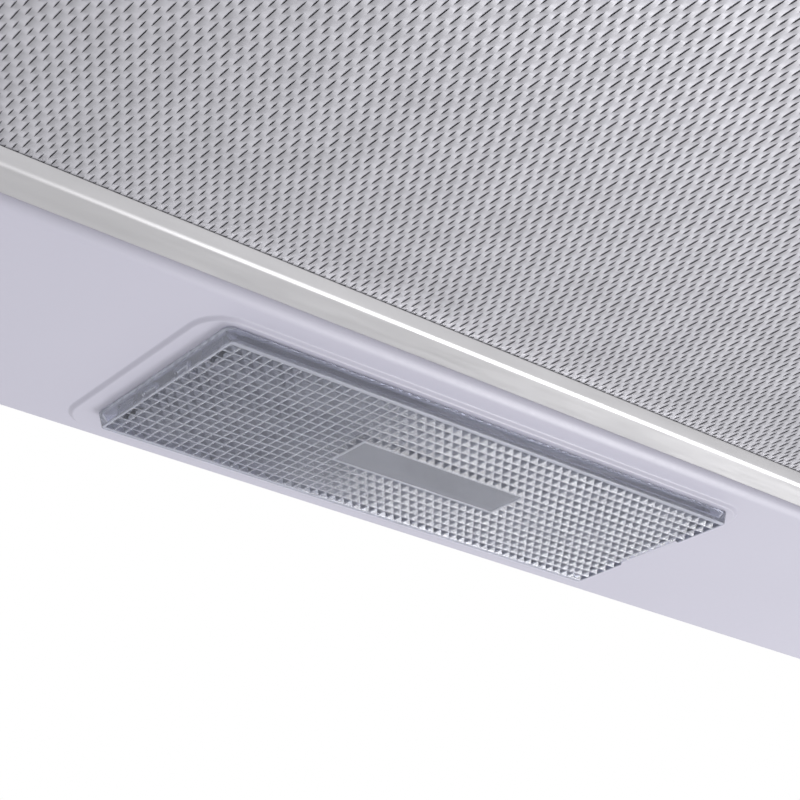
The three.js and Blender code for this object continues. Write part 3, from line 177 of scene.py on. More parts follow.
# ------------------------------------------------------------------ mesh helpers
def rounded_loop(size, radius, middle, z, offset=0.0, steps=8):
    """Points round a rectangle with round corners, anticlockwise seen from above."""
    round_by = max(radius + offset, LEAST_RADIUS)
    reach = [side / 2 + offset - round_by for side in size]
    points = []
    for quarter, (sx, sy) in enumerate([(1, 1), (-1, 1), (-1, -1), (1, -1)]):
        for step in range(steps + 1):
            angle = math.pi / 2 * (quarter + step / steps)
            x = middle[0] + sx * reach[0] + round_by * math.cos(angle)
            y = middle[1] + sy * reach[1] + round_by * math.sin(angle)
            points.append(Vector((x, y, z)))
    return points


def add_loop(mesh, points):
    return [mesh.verts.new(point) for point in points]


def bridge(mesh, first, second):
    """A band of faces between two loops of the same length."""
    count = len(first)
    for i in range(count):
        j = (i + 1) % count
        mesh.faces.new((first[i], first[j], second[j], second[i]))


def skin(mesh, rings):
    """Joins each ring of points to the next, and returns the first and last loops."""
    loops = [add_loop(mesh, ring) for ring in rings]
    for first, second in zip(loops, loops[1:]):
        bridge(mesh, first, second)
    return loops[0], loops[-1]


def fill(mesh, *loops):
    """Fills the flat area between an outer loop and the loops inside it."""
    edges = []
    for loop in loops:
        for a, b in zip(loop, loop[1:] + loop[:1]):
            edges.append(mesh.edges.get((a, b)) or mesh.edges.new((a, b)))
    bmesh.ops.triangle_fill(mesh, edges=edges, use_beauty=True)


def add_block(mesh, low, high):
    made = bmesh.ops.create_cube(mesh, size=1.0)
    for vert in made["verts"]:
        for axis in range(3):
            share = vert.co[axis] + 0.5
            vert.co[axis] = low[axis] + (high[axis] - low[axis]) * share


def add_rod(mesh, middle, axis, radius, start, end, segments=32):
    """A closed cylinder along X or Z, from one place on that axis to another."""
    made = bmesh.ops.create_cone(
        mesh,
        cap_ends=True,
        segments=segments,
        radius1=radius,
        radius2=radius,
        depth=end - start,
    )
    turn = Matrix.Rotation(math.pi / 2, 4, "Y") if axis == "X" else Matrix.Identity(4)
    spot = Vector(middle)
    spot["XYZ".index(axis)] = (start + end) / 2
    bmesh.ops.transform(mesh, matrix=Matrix.Translation(spot) @ turn, verts=made["verts"])


def to_object(name, mesh):
    """Turns a drawn mesh into an object of the scene."""
    bmesh.ops.remove_doubles(mesh, verts=mesh.verts, dist=1e-5)
    bmesh.ops.recalc_face_normals(mesh, faces=mesh.faces)
    data = bpy.data.meshes.new(name)
    mesh.to_mesh(data)
    mesh.free()
    made = bpy.data.objects.new(name, data)
    bpy.context.scene.collection.objects.link(made)
    return made


def add_slots(mesh, spread, width, depths, heights):
    """Two blocks at equal distances left and right of the middle, for cutting slots."""
    for middle in (-spread, spread):
        low = (middle - width / 2, depths[0], heights[0])
        high = (middle + width / 2, depths[1], heights[1])
        add_block(mesh, low, high)


def settle(piece):
    """Applies the piece's modifiers to its mesh."""
    graph = bpy.context.evaluated_depsgraph_get()
    made = bpy.data.meshes.new_from_object(piece.evaluated_get(graph))
    piece.modifiers.clear()
    piece.data = made


def combine(piece, tool, operation):
    """Cuts the tool from the piece or joins it, and removes the tool."""
    change = piece.modifiers.new(operation.lower(), "BOOLEAN")
    change.operation = operation
    change.object = tool
    change.solver = "EXACT"
    settle(piece)
    bpy.data.objects.remove(tool)


def shade(piece, angle=SHARP_ANGLE):
    """Smooth faces with sharp edges kept, and flat faces that stay flat in the light."""
    mesh = bmesh.new()
    mesh.from_mesh(piece.data)
    for face in mesh.faces:
        face.smooth = True
    limit = math.radians(angle)
    for edge in mesh.edges:
        edge.smooth = len(edge.link_faces) == 2 and edge.calc_face_angle() < limit
    mesh.to_mesh(piece.data)
    mesh.free()
    weights = piece.modifiers.new("flat_faces", "WEIGHTED_NORMAL")
    weights.keep_sharp = True
    weights.weight = 100


def place(piece, body, slot, *nodes):
    """Puts a finished piece, drawn in millimetres, on its body in place of its nodes."""
    piece.data.transform(Matrix.Scale(MM, 4))
    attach(piece, body)
    if nodes:
        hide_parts(*nodes)
    piece.data.materials.clear()
    piece.data.materials.append(finishes[slot])
    return piece


# ------------------------------------------------------------------ finishes
def new_material(name):
    material = bpy.data.materials.new(name)
    material.use_nodes = True
    nodes = material.node_tree.nodes
    return material, nodes, material.node_tree.links, nodes["Principled BSDF"]


def object_noise(nodes, links, scale, detail=3.0, stretch=(1, 1, 1)):
    """Noise fixed to the object, its scale in repeats per metre."""
    where = nodes.new("ShaderNodeTexCoord")
    mapping = nodes.new("ShaderNodeMapping")
    mapping.inputs["Scale"].default_value = stretch
    noise = nodes.new("ShaderNodeTexNoise")
    noise.inputs["Scale"].default_value = scale
    noise.inputs["Detail"].default_value = detail
    links.new(where.outputs["Object"], mapping.inputs["Vector"])
    links.new(mapping.outputs["Vector"], noise.inputs["Vector"])
    return noise


def spread(nodes, links, source, low, high):
    """Maps a noise, which stays near its middle, to a range of values."""
    reach = nodes.new("ShaderNodeMapRange")
    reach.inputs["From Min"].default_value = 0.3
    reach.inputs["From Max"].default_value = 0.7
    reach.inputs["To Min"].default_value = low
    reach.inputs["To Max"].default_value = high
    links.new(source, reach.inputs["Value"])
    return reach.outputs["Result"]


def two_tone(nodes, links, factor, first, second):
    """Mixes two colours by a factor."""
    mix = nodes.new("ShaderNodeMix")
    mix.data_type = "RGBA"
    mix.inputs["A"].default_value = (*first, 1)
    mix.inputs["B"].default_value = (*second, 1)
    links.new(factor, mix.inputs["Factor"])
    return mix.outputs["Result"]


def finish(
    name,
    colour,
    roughness,
    metallic=0.0,
    tone=0.06,
    mottle=40.0,
    grain=900.0,
    grain_depth=0.02,
    stretch=(1, 1, 1),
    roughness_spread=0.06,
    coat=0.0,
):
    """A surface with soft colour variation, uneven gloss and a fine grain in relief."""
    material, nodes, links, shader = new_material(name)
    patches = object_noise(nodes, links, mottle, 2.0)
    factor = spread(nodes, links, patches.outputs["Fac"], 0.0, 1.0)
    darker = [channel * (1 - tone) for channel in colour]
    lighter = [min(channel * (1 + tone), 1.0) for channel in colour]
    patched = two_tone(nodes, links, factor, darker, lighter)
    links.new(patched, shader.inputs["Base Color"])
    fine = object_noise(nodes, links, grain, 4.0, stretch)
    gloss = spread(
        nodes,
        links,
        fine.outputs["Fac"],
        roughness - roughness_spread,
        roughness + roughness_spread,
    )
    links.new(gloss, shader.inputs["Roughness"])
    relief = nodes.new("ShaderNodeBump")
    relief.inputs["Strength"].default_value = 1.0
    relief.inputs["Distance"].default_value = grain_depth * MM
    links.new(fine.outputs["Fac"], relief.inputs["Height"])
    links.new(relief.outputs["Normal"], shader.inputs["Normal"])
    shader.inputs["Metallic"].default_value = metallic
    shader.inputs["Coat Weight"].default_value = coat
    return material


def mesh_finish():
    """Aluminium of the mesh, with a painted highlight on the lips that are lifted and painted
    shade on those pressed down.
    """
    material = finish(
        "mesh_aluminium", (0.405, 0.401, 0.43), 0.42, metallic=0.35, tone=0.05,
        mottle=90.0, grain=1500.0, grain_depth=0.01, roughness_spread=0.08,
    )
    nodes, links = material.node_tree.nodes, material.node_tree.links
    shader = nodes["Principled BSDF"]
    tone = shader.inputs["Base Color"].links[0].from_socket
    where = nodes.new("ShaderNodeTexCoord")
    split = nodes.new("ShaderNodeSeparateXYZ")
    links.new(where.outputs["Object"], split.inputs["Vector"])
    # painted light and shade: the colour is scaled up on lifted lips and down on pressed-down lips
    height = nodes.new("ShaderNodeMapRange")
    height.inputs["From Min"].default_value = (mesh_low.z - RIGHT_LIP_DROP) * MM
    height.inputs["From Max"].default_value = (mesh_low.z + LEFT_LIP_LIFT) * MM
    height.inputs["To Min"].default_value = 0.8
    height.inputs["To Max"].default_value = 1.45
    links.new(split.outputs["Z"], height.inputs["Value"])
    scale = nodes.new("ShaderNodeVectorMath")
    scale.operation = "SCALE"
    links.new(tone, scale.inputs[0])
    links.new(height.outputs["Result"], scale.inputs["Scale"])
    links.new(scale.outputs["Vector"], shader.inputs["Base Color"])
    return material


def galvanised_finish():
    """Zinc spangle: flakes a few millimetres wide, each with its own gloss."""
    material, nodes, links, shader = new_material("galvanised")
    where = nodes.new("ShaderNodeTexCoord")
    flakes = nodes.new("ShaderNodeTexVoronoi")
    flakes.inputs["Scale"].default_value = 160.0
    links.new(where.outputs["Object"], flakes.inputs["Vector"])
    split = nodes.new("ShaderNodeSeparateColor")
    links.new(flakes.outputs["Color"], split.inputs["Color"])
    tone = two_tone(
        nodes, links, split.outputs["Red"], (0.42, 0.44, 0.46), (0.66, 0.68, 0.70)
    )
    links.new(tone, shader.inputs["Base Color"])
    reach = nodes.new("ShaderNodeMapRange")
    reach.inputs["To Min"].default_value = 0.34
    reach.inputs["To Max"].default_value = 0.55
    links.new(split.outputs["Green"], reach.inputs["Value"])
    links.new(reach.outputs["Result"], shader.inputs["Roughness"])
    shader.inputs["Metallic"].default_value = 1.0
    return material


def inner_mesh_finish():
    """The fine layers inside the filter: painted shade between the strands, with a painted glint
    along the crossed strands.
    """
    material, nodes, links, shader = new_material("filter_layers")
    where = nodes.new("ShaderNodeTexCoord")
    cells = nodes.new("ShaderNodeTexVoronoi")
    cells.feature = "DISTANCE_TO_EDGE"
    cells.inputs["Scale"].default_value = 520.0
    links.new(where.outputs["Object"], cells.inputs["Vector"])
    reach = nodes.new("ShaderNodeMapRange")
    reach.inputs["From Max"].default_value = 0.16
    reach.inputs["To Min"].default_value = 1.0
    reach.inputs["To Max"].default_value = 0.0
    links.new(cells.outputs["Distance"], reach.inputs["Value"])
    # painted shade in the cells and a painted glint at their edges, where the strands cross
    tone = two_tone(
        nodes, links, reach.outputs["Result"], (0.34, 0.34, 0.36), (0.66, 0.66, 0.68)
    )
    links.new(tone, shader.inputs["Base Color"])
    shader.inputs["Roughness"].default_value = 0.6
    shader.inputs["Metallic"].default_value = 0.6
    return material


def prism_masks(nodes, links):
    """The depth above the lamp cover's face, and the same depth in its prisms only."""
    where = nodes.new("ShaderNodeTexCoord")
    split = nodes.new("ShaderNodeSeparateXYZ")
    links.new(where.outputs["Object"], split.inputs["Vector"])
    depth = nodes.new("ShaderNodeMapRange")
    depth.inputs["From Min"].default_value = (cover_low.z + RIDGE_HIGHLIGHT_DEPTH[0]) * MM
    depth.inputs["From Max"].default_value = (cover_low.z + RIDGE_HIGHLIGHT_DEPTH[1]) * MM
    links.new(split.outputs["Z"], depth.inputs["Value"])
    mask = depth.outputs["Result"]
    limits = [
        ("XY"[axis], lamp_middle[axis], cover_size()[axis] / 2 - PRISM_BORDER[axis])
        for axis in (0, 1)
    ]
    limits.append(("Z", cover_low.z, PRISM_DEPTH + 0.1))
    for name, middle, reach in limits:
        inside = nodes.new("ShaderNodeMath")
        inside.operation = "COMPARE"
        inside.inputs[1].default_value = middle * MM
        inside.inputs[2].default_value = reach * MM
        links.new(split.outputs[name], inside.inputs[0])
        both = nodes.new("ShaderNodeMath")
        both.operation = "MULTIPLY"
        links.new(mask, both.inputs[0])
        links.new(inside.outputs["Value"], both.inputs[1])
        mask = both.outputs["Value"]
    return depth.outputs["Result"], mask


def clear_finish():
    """Clear moulded plastic, with a painted highlight on the ridges of its prisms and painted
    shade in the pits.
    """
    material, nodes, links, shader = new_material("clear_cover")
    depth, mask = prism_masks(nodes, links)
    flow = object_noise(nodes, links, 60.0, 2.0, (1, 3, 1))
    factor = spread(nodes, links, flow.outputs["Fac"], 0.0, 1.0)
    # painted highlight on the prism ridges and painted shade in the pits, mixed by depth below the
    # face
    ridge = two_tone(nodes, links, factor, (0.72, 0.74, 0.84), (0.78, 0.80, 0.90))
    painted_pit_shade = two_tone(nodes, links, factor, (0.32, 0.335, 0.405), (0.38, 0.395, 0.47))
    mix = nodes.new("ShaderNodeMix")
    mix.data_type = "RGBA"
    links.new(mask, mix.inputs["Factor"])
    links.new(ridge, mix.inputs["A"])
    links.new(painted_pit_shade, mix.inputs["B"])
    links.new(mix.outputs["Result"], shader.inputs["Base Color"])
    clear = nodes.new("ShaderNodeMath")
    clear.operation = "MULTIPLY_ADD"
    clear.inputs[1].default_value = 0.1
    wall = nodes.new("ShaderNodeMapRange")
    wall.inputs["To Min"].default_value = 0.6
    wall.inputs["To Max"].default_value = 0.82
    links.new(depth, wall.inputs["Value"])
    links.new(mask, clear.inputs[0])
    links.new(wall.outputs["Result"], clear.inputs[2])
    links.new(clear.outputs["Value"], shader.inputs["Transmission Weight"])
    gloss = spread(nodes, links, flow.outputs["Fac"], 0.11, 0.19)
    links.new(gloss, shader.inputs["Roughness"])
    shader.inputs["IOR"].default_value = 1.49
    return material


def frosted_finish():
    """Opal glass of the lamp, slightly see-through."""
    material, nodes, links, shader = new_material("bulb_glass")
    haze = object_noise(nodes, links, 220.0, 3.0)
    factor = spread(nodes, links, haze.outputs["Fac"], 0.0, 1.0)
    tint = two_tone(nodes, links, factor, (0.88, 0.87, 0.84), (0.97, 0.96, 0.94))
    links.new(tint, shader.inputs["Base Color"])
    shader.inputs["Roughness"].default_value = 0.28
    shader.inputs["IOR"].default_value = 1.5
    shader.inputs["Transmission Weight"].default_value = 0.35
    return material


finishes = {
    "body_paint": finish(
        "body_paint", (0.544, 0.532, 0.620), 0.38, tone=0.012, mottle=14.0,
        grain=700.0, grain_depth=0.012, roughness_spread=0.03,
    ),
    "galvanised": galvanised_finish(),
    "frame_aluminium": finish(
        "frame_aluminium", (0.62, 0.613, 0.625), 0.43, metallic=1.0, tone=0.03,
        mottle=18.0, grain=420.0, grain_depth=0.006, stretch=(0.12, 1, 1),
    ),
    "mesh_aluminium": mesh_finish(),
    "steel": finish(
        "steel", (0.56, 0.57, 0.58), 0.34, metallic=1.0, tone=0.06, mottle=260.0,
        grain=1800.0, grain_depth=0.008,
    ),
    "clear_cover": clear_finish(),
    "bulb_glass": frosted_finish(),
    "ceramic": finish(
        "ceramic", (0.86, 0.84, 0.79), 0.22, tone=0.03, mottle=120.0, grain=700.0,
        grain_depth=0.02, coat=0.3,
    ),
    "brass": finish(
        "brass", (0.72, 0.56, 0.28), 0.32, metallic=1.0, tone=0.10, mottle=300.0,
        grain=1600.0, grain_depth=0.01,
    ),
    "white_plastic": finish(
        "white_plastic", (0.74, 0.735, 0.76), 0.36, tone=0.015, mottle=50.0,
        grain=2200.0, grain_depth=0.015, roughness_spread=0.05,
    ),
    "grey_plastic": finish(
        "grey_plastic", (0.26, 0.265, 0.28), 0.46, tone=0.05, mottle=70.0,
        grain=1800.0, grain_depth=0.03,
    ),
    "black_plastic": finish(
        "black_plastic", (0.025, 0.025, 0.028), 0.48, tone=0.12, mottle=90.0,
        grain=1900.0, grain_depth=0.03,
    ),
    "rubber": finish(
        "rubber", (0.018, 0.018, 0.018), 0.78, tone=0.15, mottle=150.0,
        grain=2400.0, grain_depth=0.03,
    ),
    "amber_lens": finish(
        "amber_lens", (0.80, 0.36, 0.05), 0.18, tone=0.05, mottle=300.0,
        grain=900.0, grain_depth=0.01, coat=0.5,
    ),
}
filter_layers = inner_mesh_finish()


def smoothing_group():
    """Node group that joins a faceted mesh and smooths it up to a sharp edge's angle."""
    group = bpy.data.node_groups.new("smooth_facets", "GeometryNodeTree")
    group.interface.new_socket("Geometry", in_out="INPUT", socket_type="NodeSocketGeometry")
    group.interface.new_socket("Geometry", in_out="OUTPUT", socket_type="NodeSocketGeometry")
    nodes, links = group.nodes, group.links
    start, end = nodes.new("NodeGroupInput"), nodes.new("NodeGroupOutput")
    merge = nodes.new("GeometryNodeMergeByDistance")
    merge.inputs["Distance"].default_value = MERGE_GAP * MM
    bare = nodes.new("GeometryNodeRemoveAttribute")
    bare.inputs["Name"].default_value = "custom_normal"
    faces = nodes.new("GeometryNodeSetShadeSmooth")
    faces.domain = "FACE"
    edges = nodes.new("GeometryNodeSetShadeSmooth")
    edges.domain = "EDGE"
    edges.inputs["Shade Smooth"].default_value = False
    angle = nodes.new("GeometryNodeInputMeshEdgeAngle")
    sharp = nodes.new("FunctionNodeCompare")
    sharp.data_type = "FLOAT"
    sharp.operation = "GREATER_THAN"
    sharp.inputs["B"].default_value = math.radians(SHARP_ANGLE)
    links.new(start.outputs["Geometry"], merge.inputs["Geometry"])
    links.new(merge.outputs["Geometry"], bare.inputs["Geometry"])
    links.new(bare.outputs["Geometry"], faces.inputs["Geometry"])
    links.new(faces.outputs["Geometry"], edges.inputs["Geometry"])
    links.new(angle.outputs["Unsigned Angle"], sharp.inputs["A"])
    links.new(sharp.outputs["Result"], edges.inputs["Selection"])
    links.new(edges.outputs["Geometry"], end.inputs["Geometry"])
    return group


def dress_cad_nodes():
    """Gives every node of the frame its finish and a smooth skin."""
    group = smoothing_group()
    for part in frame["record"]["subparts"]:
        node = frame["nodes"][part["node"]]
        node.data.materials.clear()
        node.data.materials.append(finishes[part["material_slot"]])
        smooth = node.modifiers.new("smooth_facets", "NODES")
        smooth.node_group = group
    for name in ("filter_core", "filter_mesh_upper"):
        frame["nodes"][name].data.materials[0] = filter_layers


# ------------------------------------------------------------------ body
def bend(radius, steps=6):
    """Pairs of (inward, up) round a quarter bend, from upright to flat."""
    turns = [math.pi / 2 * step / steps for step in range(steps + 1)]
    return [(radius * (1 - math.cos(a)), radius * (1 - math.sin(a))) for a in turns]


def wall_rings():
    """The tray's side wall in section: inside up from the panel, outside back down."""
    size = (body_width, body_depth)

    def ring(inward, up):
        return rounded_loop(size, CORNER_RADIUS, body_middle, panel_z + up, -inward)

    outside = [ring(inward, up) for inward, up in bend(EDGE_BEND)]
    inside = [
        ring(SHEET + inward, SHEET + up) for inward, up in bend(EDGE_BEND - SHEET)
    ]
    top = seam_z - panel_z
    rim = [ring(SHEET, top), ring(RIM_CHAMFER, top), ring(0.0, top - RIM_CHAMFER)]
    return [*reversed(inside), *rim, *outside]


def opening_rings():
    """The rolled edge of the filter opening in section, with its upright flange."""
    size = [side + 2 * OPENING_GAP for side in filter_size]

    def ring(outward, up):
        return rounded_loop(size, OPENING_RADIUS, filter_middle, panel_z + up, outward)

    def roll(radius, lift, steps=12):
        turns = [math.pi / 2 * step / steps for step in range(steps + 1)]
        return [
            ring(ROLL_RADIUS - radius * math.sin(a), lift + radius * (1 - math.cos(a)))
            for a in turns
        ]

    visible = roll(ROLL_RADIUS, 0.0)
    hidden = roll(ROLL_RADIUS - SHEET, SHEET)
    rim = [ring(0.0, FLANGE_HEIGHT), ring(SHEET, FLANGE_HEIGHT)]
    return [*visible, *rim, *reversed(hidden)]


def boss_rings():
    """The pressed boss round the lamp opening: down its soft side, through the opening."""

    def step_down(lift, outward, steps=10):
        rings = []
        for step in range(steps + 1):
            share = step / steps
            drop = BOSS_HEIGHT * (1 - math.cos(math.pi * share)) / 2
            inward = BOSS_RUN * share - outward
            z = panel_z + lift - drop
            rings.append(rounded_loop(BOSS_SIZE, BOSS_RADIUS, boss_middle, z, -inward))
        return rings

    below = step_down(0.0, 0.0)
    above = step_down(SHEET, BOSS_UPPER_OUT)
    edge = [
        rounded_loop(LAMP_OPENING, LAMP_OPENING_RADIUS, lamp_middle, boss_z + up)
        for up in (0.0, SHEET)
    ]
    return [*below, *edge, *reversed(above)]


def tray_cuts():
    """Slots for the latch tongues and the filter's tabs, the controls and the screws."""
    mesh = bmesh.new()
    front = filter_low.y - OPENING_GAP
    back = filter_high.y + OPENING_GAP
    play, lift = TONGUE_PLAY
    tongue = panel_z + TONGUE_LEVEL
    add_slots(
        mesh, LATCH_SPREAD, TONGUE_WIDTH + 2 * play,
        (front - SHEET - CUT_PAST, front + CUT_PAST),
        (tongue - lift, tongue + TONGUE_SHEET + lift),
    )
    tab = panel_z + TAB_LEVEL
    add_slots(
        mesh, TAB_SPREAD, TAB_WIDTH + 2 * TAB_PLAY,
        (back - CUT_PAST, back + SHEET + CUT_PAST),
        (tab - TAB_SWING[0], tab + TAB_SHEET + TAB_SWING[1]),
    )
    add_block(
        mesh,
        (bezel_low.x + BEZEL_SEAT, tray_low.y - CUT_PAST, bezel_low.z + BEZEL_SEAT),
        (bezel_high.x - BEZEL_SEAT, tray_low.y + SHEET + CUT_PAST, bezel_high.z - BEZEL_SEAT),
    )
    for name in ("left_front", "left_rear", "right_front", "right_rear"):
        low, high = box_mm(f"case_screw_{name}")
        middle = (low + high) / 2
        side = math.copysign(body_width / 2, middle.x)
        add_rod(mesh, middle, "X", SCREW_HOLE, side - 3 * SHEET, side + 3 * SHEET, 20)
    return to_object("tray_cuts", mesh)


def lower_tray():
    mesh = bmesh.new()
    wall_in, wall_out = skin(mesh, wall_rings())
    opening_below, opening_above = skin(mesh, opening_rings())
    boss_below, boss_above = skin(mesh, boss_rings())
    fill(mesh, wall_out, opening_below, boss_below)
    fill(mesh, wall_in, opening_above, boss_above)
    tray = to_object("tray", mesh)
    combine(tray, tray_cuts(), "DIFFERENCE")
    shade(tray)
    return place(tray, "hood_body", "body_paint", "lower_tray")


def canopy_prism(name, inset, foot, bend_by):
    """The canopy's outer or inner form: a flat top, a sloping front, upright sides."""
    slope_foot = seam_z + NOSE_HEIGHT
    top_front = tray_high.y - TOP_DEPTH
    slope = math.atan2(-slope_foot, top_front - tray_low.y)
    nose_drop = inset * (1 / math.cos(slope) - math.tan(slope))
    outline = [
        (tray_low.y + inset, foot),
        (tray_high.y - inset, foot),
        (tray_high.y - inset, -inset),
        (top_front + inset * math.tan(slope / 2), -inset),
        (tray_low.y + inset, slope_foot - nose_drop),
    ]
    half = body_width / 2 - inset
    mesh = bmesh.new()
    ends = [add_loop(mesh, [(x, y, z) for y, z in outline]) for x in (-half, half)]
    bridge(mesh, *ends)
    for end in ends:
        mesh.faces.new(end)
    bmesh.ops.recalc_face_normals(mesh, faces=mesh.faces)
    bends = [
        edge for edge in mesh.edges
        if max(vert.co.z for vert in edge.verts) > foot + SHEET / 2
    ]
    bmesh.ops.bevel(
        mesh, geom=bends, offset=bend_by, segments=5, profile=0.5, affect="EDGES",
        clamp_overlap=True,
    )
    return to_object(name, mesh)


def canopy_lap():
    """The canopy's joggled flange, which reaches down inside the tray."""
    size = (body_width, body_depth)

    def ring(inward, z):
        return rounded_loop(size, CORNER_RADIUS, body_middle, z, -inward)

    step = SHEET + FIT_GAP
    rings = [
        ring(step, seam_z - LAP_HEIGHT),
        ring(step, seam_z + FIT_GAP),
        ring(SHEET / 2, seam_z + FIT_GAP),
        ring(SHEET / 2, seam_z + step),
        ring(step + SHEET, seam_z + step),
        ring(step + SHEET, seam_z - LAP_HEIGHT),
    ]
    mesh = bmesh.new()
    loops = [add_loop(mesh, points) for points in rings]
    for first, second in zip(loops, loops[1:] + loops[:1]):
        bridge(mesh, first, second)
    return to_object("canopy_lap", mesh)


def add_keyhole(mesh, x, y, low, high):
    """Round hole with a narrow slot behind it, for a screw head and its shank."""
    start = math.asin(KEYHOLE_SLOT / KEYHOLE_HEAD)

    def arc(radius, middle_y, first, turn, steps):
        turns = [first + turn * step / steps for step in range(steps + 1)]
        return [(x + radius * math.cos(a), middle_y + radius * math.sin(a)) for a in turns]

    head = arc(KEYHOLE_HEAD, y, math.pi / 2 + start, 2 * (math.pi - start), 24)
    slot = arc(KEYHOLE_SLOT, y + KEYHOLE_LENGTH, 0.0, math.pi, 12)
    points = head + slot
    ends = [add_loop(mesh, [(px, py, z) for px, py in points]) for z in (low, high)]
    bridge(mesh, *ends)
    for end in ends:
        mesh.faces.new(end)


def canopy_cuts():
    """The duct hole, the gland's hole and a keyhole at both ends of each rail."""
    mesh = bmesh.new()
    low_z, high_z = -4 * SHEET, 2 * SHEET
    add_rod(mesh, (*duct_middle, 0), "Z", DUCT_HOLE, low_z, high_z, 72)
    gland_low, gland_high = box_mm("cable_gland")
    add_rod(mesh, (gland_low + gland_high) / 2, "Z", GLAND_HOLE, low_z, high_z)
    for side in ("left", "right"):
        low, high = box_mm(f"mount_rail_{side}")
        x = (low.x + high.x) / 2
        for y in (low.y + KEYHOLE_INSET, high.y - KEYHOLE_INSET):
            add_keyhole(mesh, x, y, low_z, high_z)
    return to_object("canopy_cuts", mesh)


def canopy():
    open_foot = seam_z - 5 * SHEET  # below the shell's foot, so that the cut opens it
    shell = canopy_prism("canopy_shell", 0.0, seam_z + FIT_GAP, EDGE_BEND)
    hollow = canopy_prism("canopy_hollow", SHEET, open_foot, EDGE_BEND - SHEET)
    combine(shell, hollow, "DIFFERENCE")
    combine(shell, canopy_lap(), "UNION")
    combine(shell, canopy_cuts(), "DIFFERENCE")
    shade(shell)
    return place(shell, "hood_body", "body_paint", "canopy")


# ------------------------------------------------------------------ filter
def frame_section():
    """The rolled strip in section, as (inward, up) round its closed outline."""
    edge, ridge, thick = FRAME_EDGE, FRAME_RIDGE, FRAME_SKIN
    lip, hem = FRAME_LIP, FRAME_LIP + FRAME_BEVEL
    top = filter_high.z - filter_low.z
    quarter = [math.pi / 2 * step / 6 for step in range(7)]
    lower_edge = [
        (edge - edge * math.sin(a), edge - edge * math.cos(a)) for a in reversed(quarter)
    ]
    upper_edge = [
        (edge - edge * math.sin(a), top - edge + edge * math.cos(a)) for a in quarter
    ]
    ridge_start = lip - ridge * math.tan(math.pi / 8)
    ridge_bend = [
        (ridge_start + ridge * math.sin(a / 2), ridge * (1 - math.cos(a / 2)))
        for a in quarter
    ]
    rounded_hem = [
        (hem - 0.15, FRAME_BEVEL - 0.15),
        (hem, FRAME_BEVEL + 0.06),
        (hem - 0.2, FRAME_BEVEL + 0.25),
    ]
    inside = [
        (hem - 1.4 * thick, FRAME_BEVEL - 0.1),
        (lip - 0.4 * thick, thick),
        (thick, thick),
        (thick, top - thick),
        (hem, top - thick),
        (hem, top),
    ]
    return lower_edge + ridge_bend + rounded_hem + inside + upper_edge


def filter_frame():
    """Four mitred bars; each ends at the diagonal of its corners with a hair gap."""
    steps = 8
    loops = [
        rounded_loop(
            filter_size, FRAME_RADIUS, filter_middle, filter_low.z + up, -inward, steps
        )
        for inward, up in frame_section()
    ]
    count = len(loops[0])
    mesh = bmesh.new()
    for side in range(4):
        start = side * (steps + 1) + steps // 2
        picks = [(start + i) % count for i in range(steps + 2)]
        along = Vector(((0, 1, 0), (-1, 0, 0), (0, -1, 0), (1, 0, 0))[side])
        rows = []
        for i, pick in enumerate(picks):
            shift = MITRE_GAP * ((i == 0) - (i == len(picks) - 1))
            rows.append(add_loop(mesh, [loop[pick] + along * shift for loop in loops]))
        for first, second in zip(rows, rows[1:]):
            bridge(mesh, first, second)
        mesh.faces.new(rows[0])
        mesh.faces.new(rows[-1])
    piece = to_object("filter_surround", mesh)
    combine(piece, frame_cuts(), "DIFFERENCE")
    shade(piece, angle=26.0)
    return place(piece, "filter", "frame_aluminium", "filter_frame")


def frame_cuts():
    """Slots in the frame's wall for the latch tongues and the rear tabs."""
    mesh = bmesh.new()
    depth = FRAME_SKIN + CUT_PAST
    play, lift = TONGUE_PLAY
    tongue = filter_low.z + TONGUE_LEVEL
    add_slots(
        mesh, LATCH_SPREAD, TONGUE_WIDTH + 2 * play,
        (filter_low.y - CUT_PAST, filter_low.y + depth),
        (tongue - lift, tongue + TONGUE_SHEET + lift),
    )
    tab = filter_low.z + TAB_LEVEL
    add_slots(
        mesh, TAB_SPREAD, TAB_WIDTH + 2 * FIT_GAP,
        (filter_high.y - depth, filter_high.y + CUT_PAST),
        (tab - FIT_GAP, tab + TAB_SHEET + FIT_GAP),
    )
    return to_object("frame_cuts", mesh)


def mesh_lattice():
    """Columns half a cell apart and the four rows of each cell, as (x, y, split).

    A node is split where a slit passes through it: its left and right lips part."""
    border = FRAME_LIP + FRAME_BEVEL - MESH_UNDER_LIP
    columns = int((filter_size[0] / 2 - border) / (CELL_X / 2))
    xs = np.arange(-columns, columns + 1) * CELL_X / 2
    low, high = filter_low.y + border, filter_high.y - border
    rows = []
    for cell in range(math.floor(low / CELL_Y), math.ceil(high / CELL_Y) + 1):
        for kind, y in enumerate((-SLIT_HALF, -SLIT_CORE, SLIT_CORE, SLIT_HALF)):
            if low <= cell * CELL_Y + y <= high:
                rows.append((cell * CELL_Y + y, kind in (1, 2)))
    ys = np.array([y for y, _ in rows])
    inner = np.array([core for _, core in rows])
    even = (np.arange(len(xs)) - columns) % 2 == 0
    split = even[:, None] == inner[None, :]
    return xs, ys, split


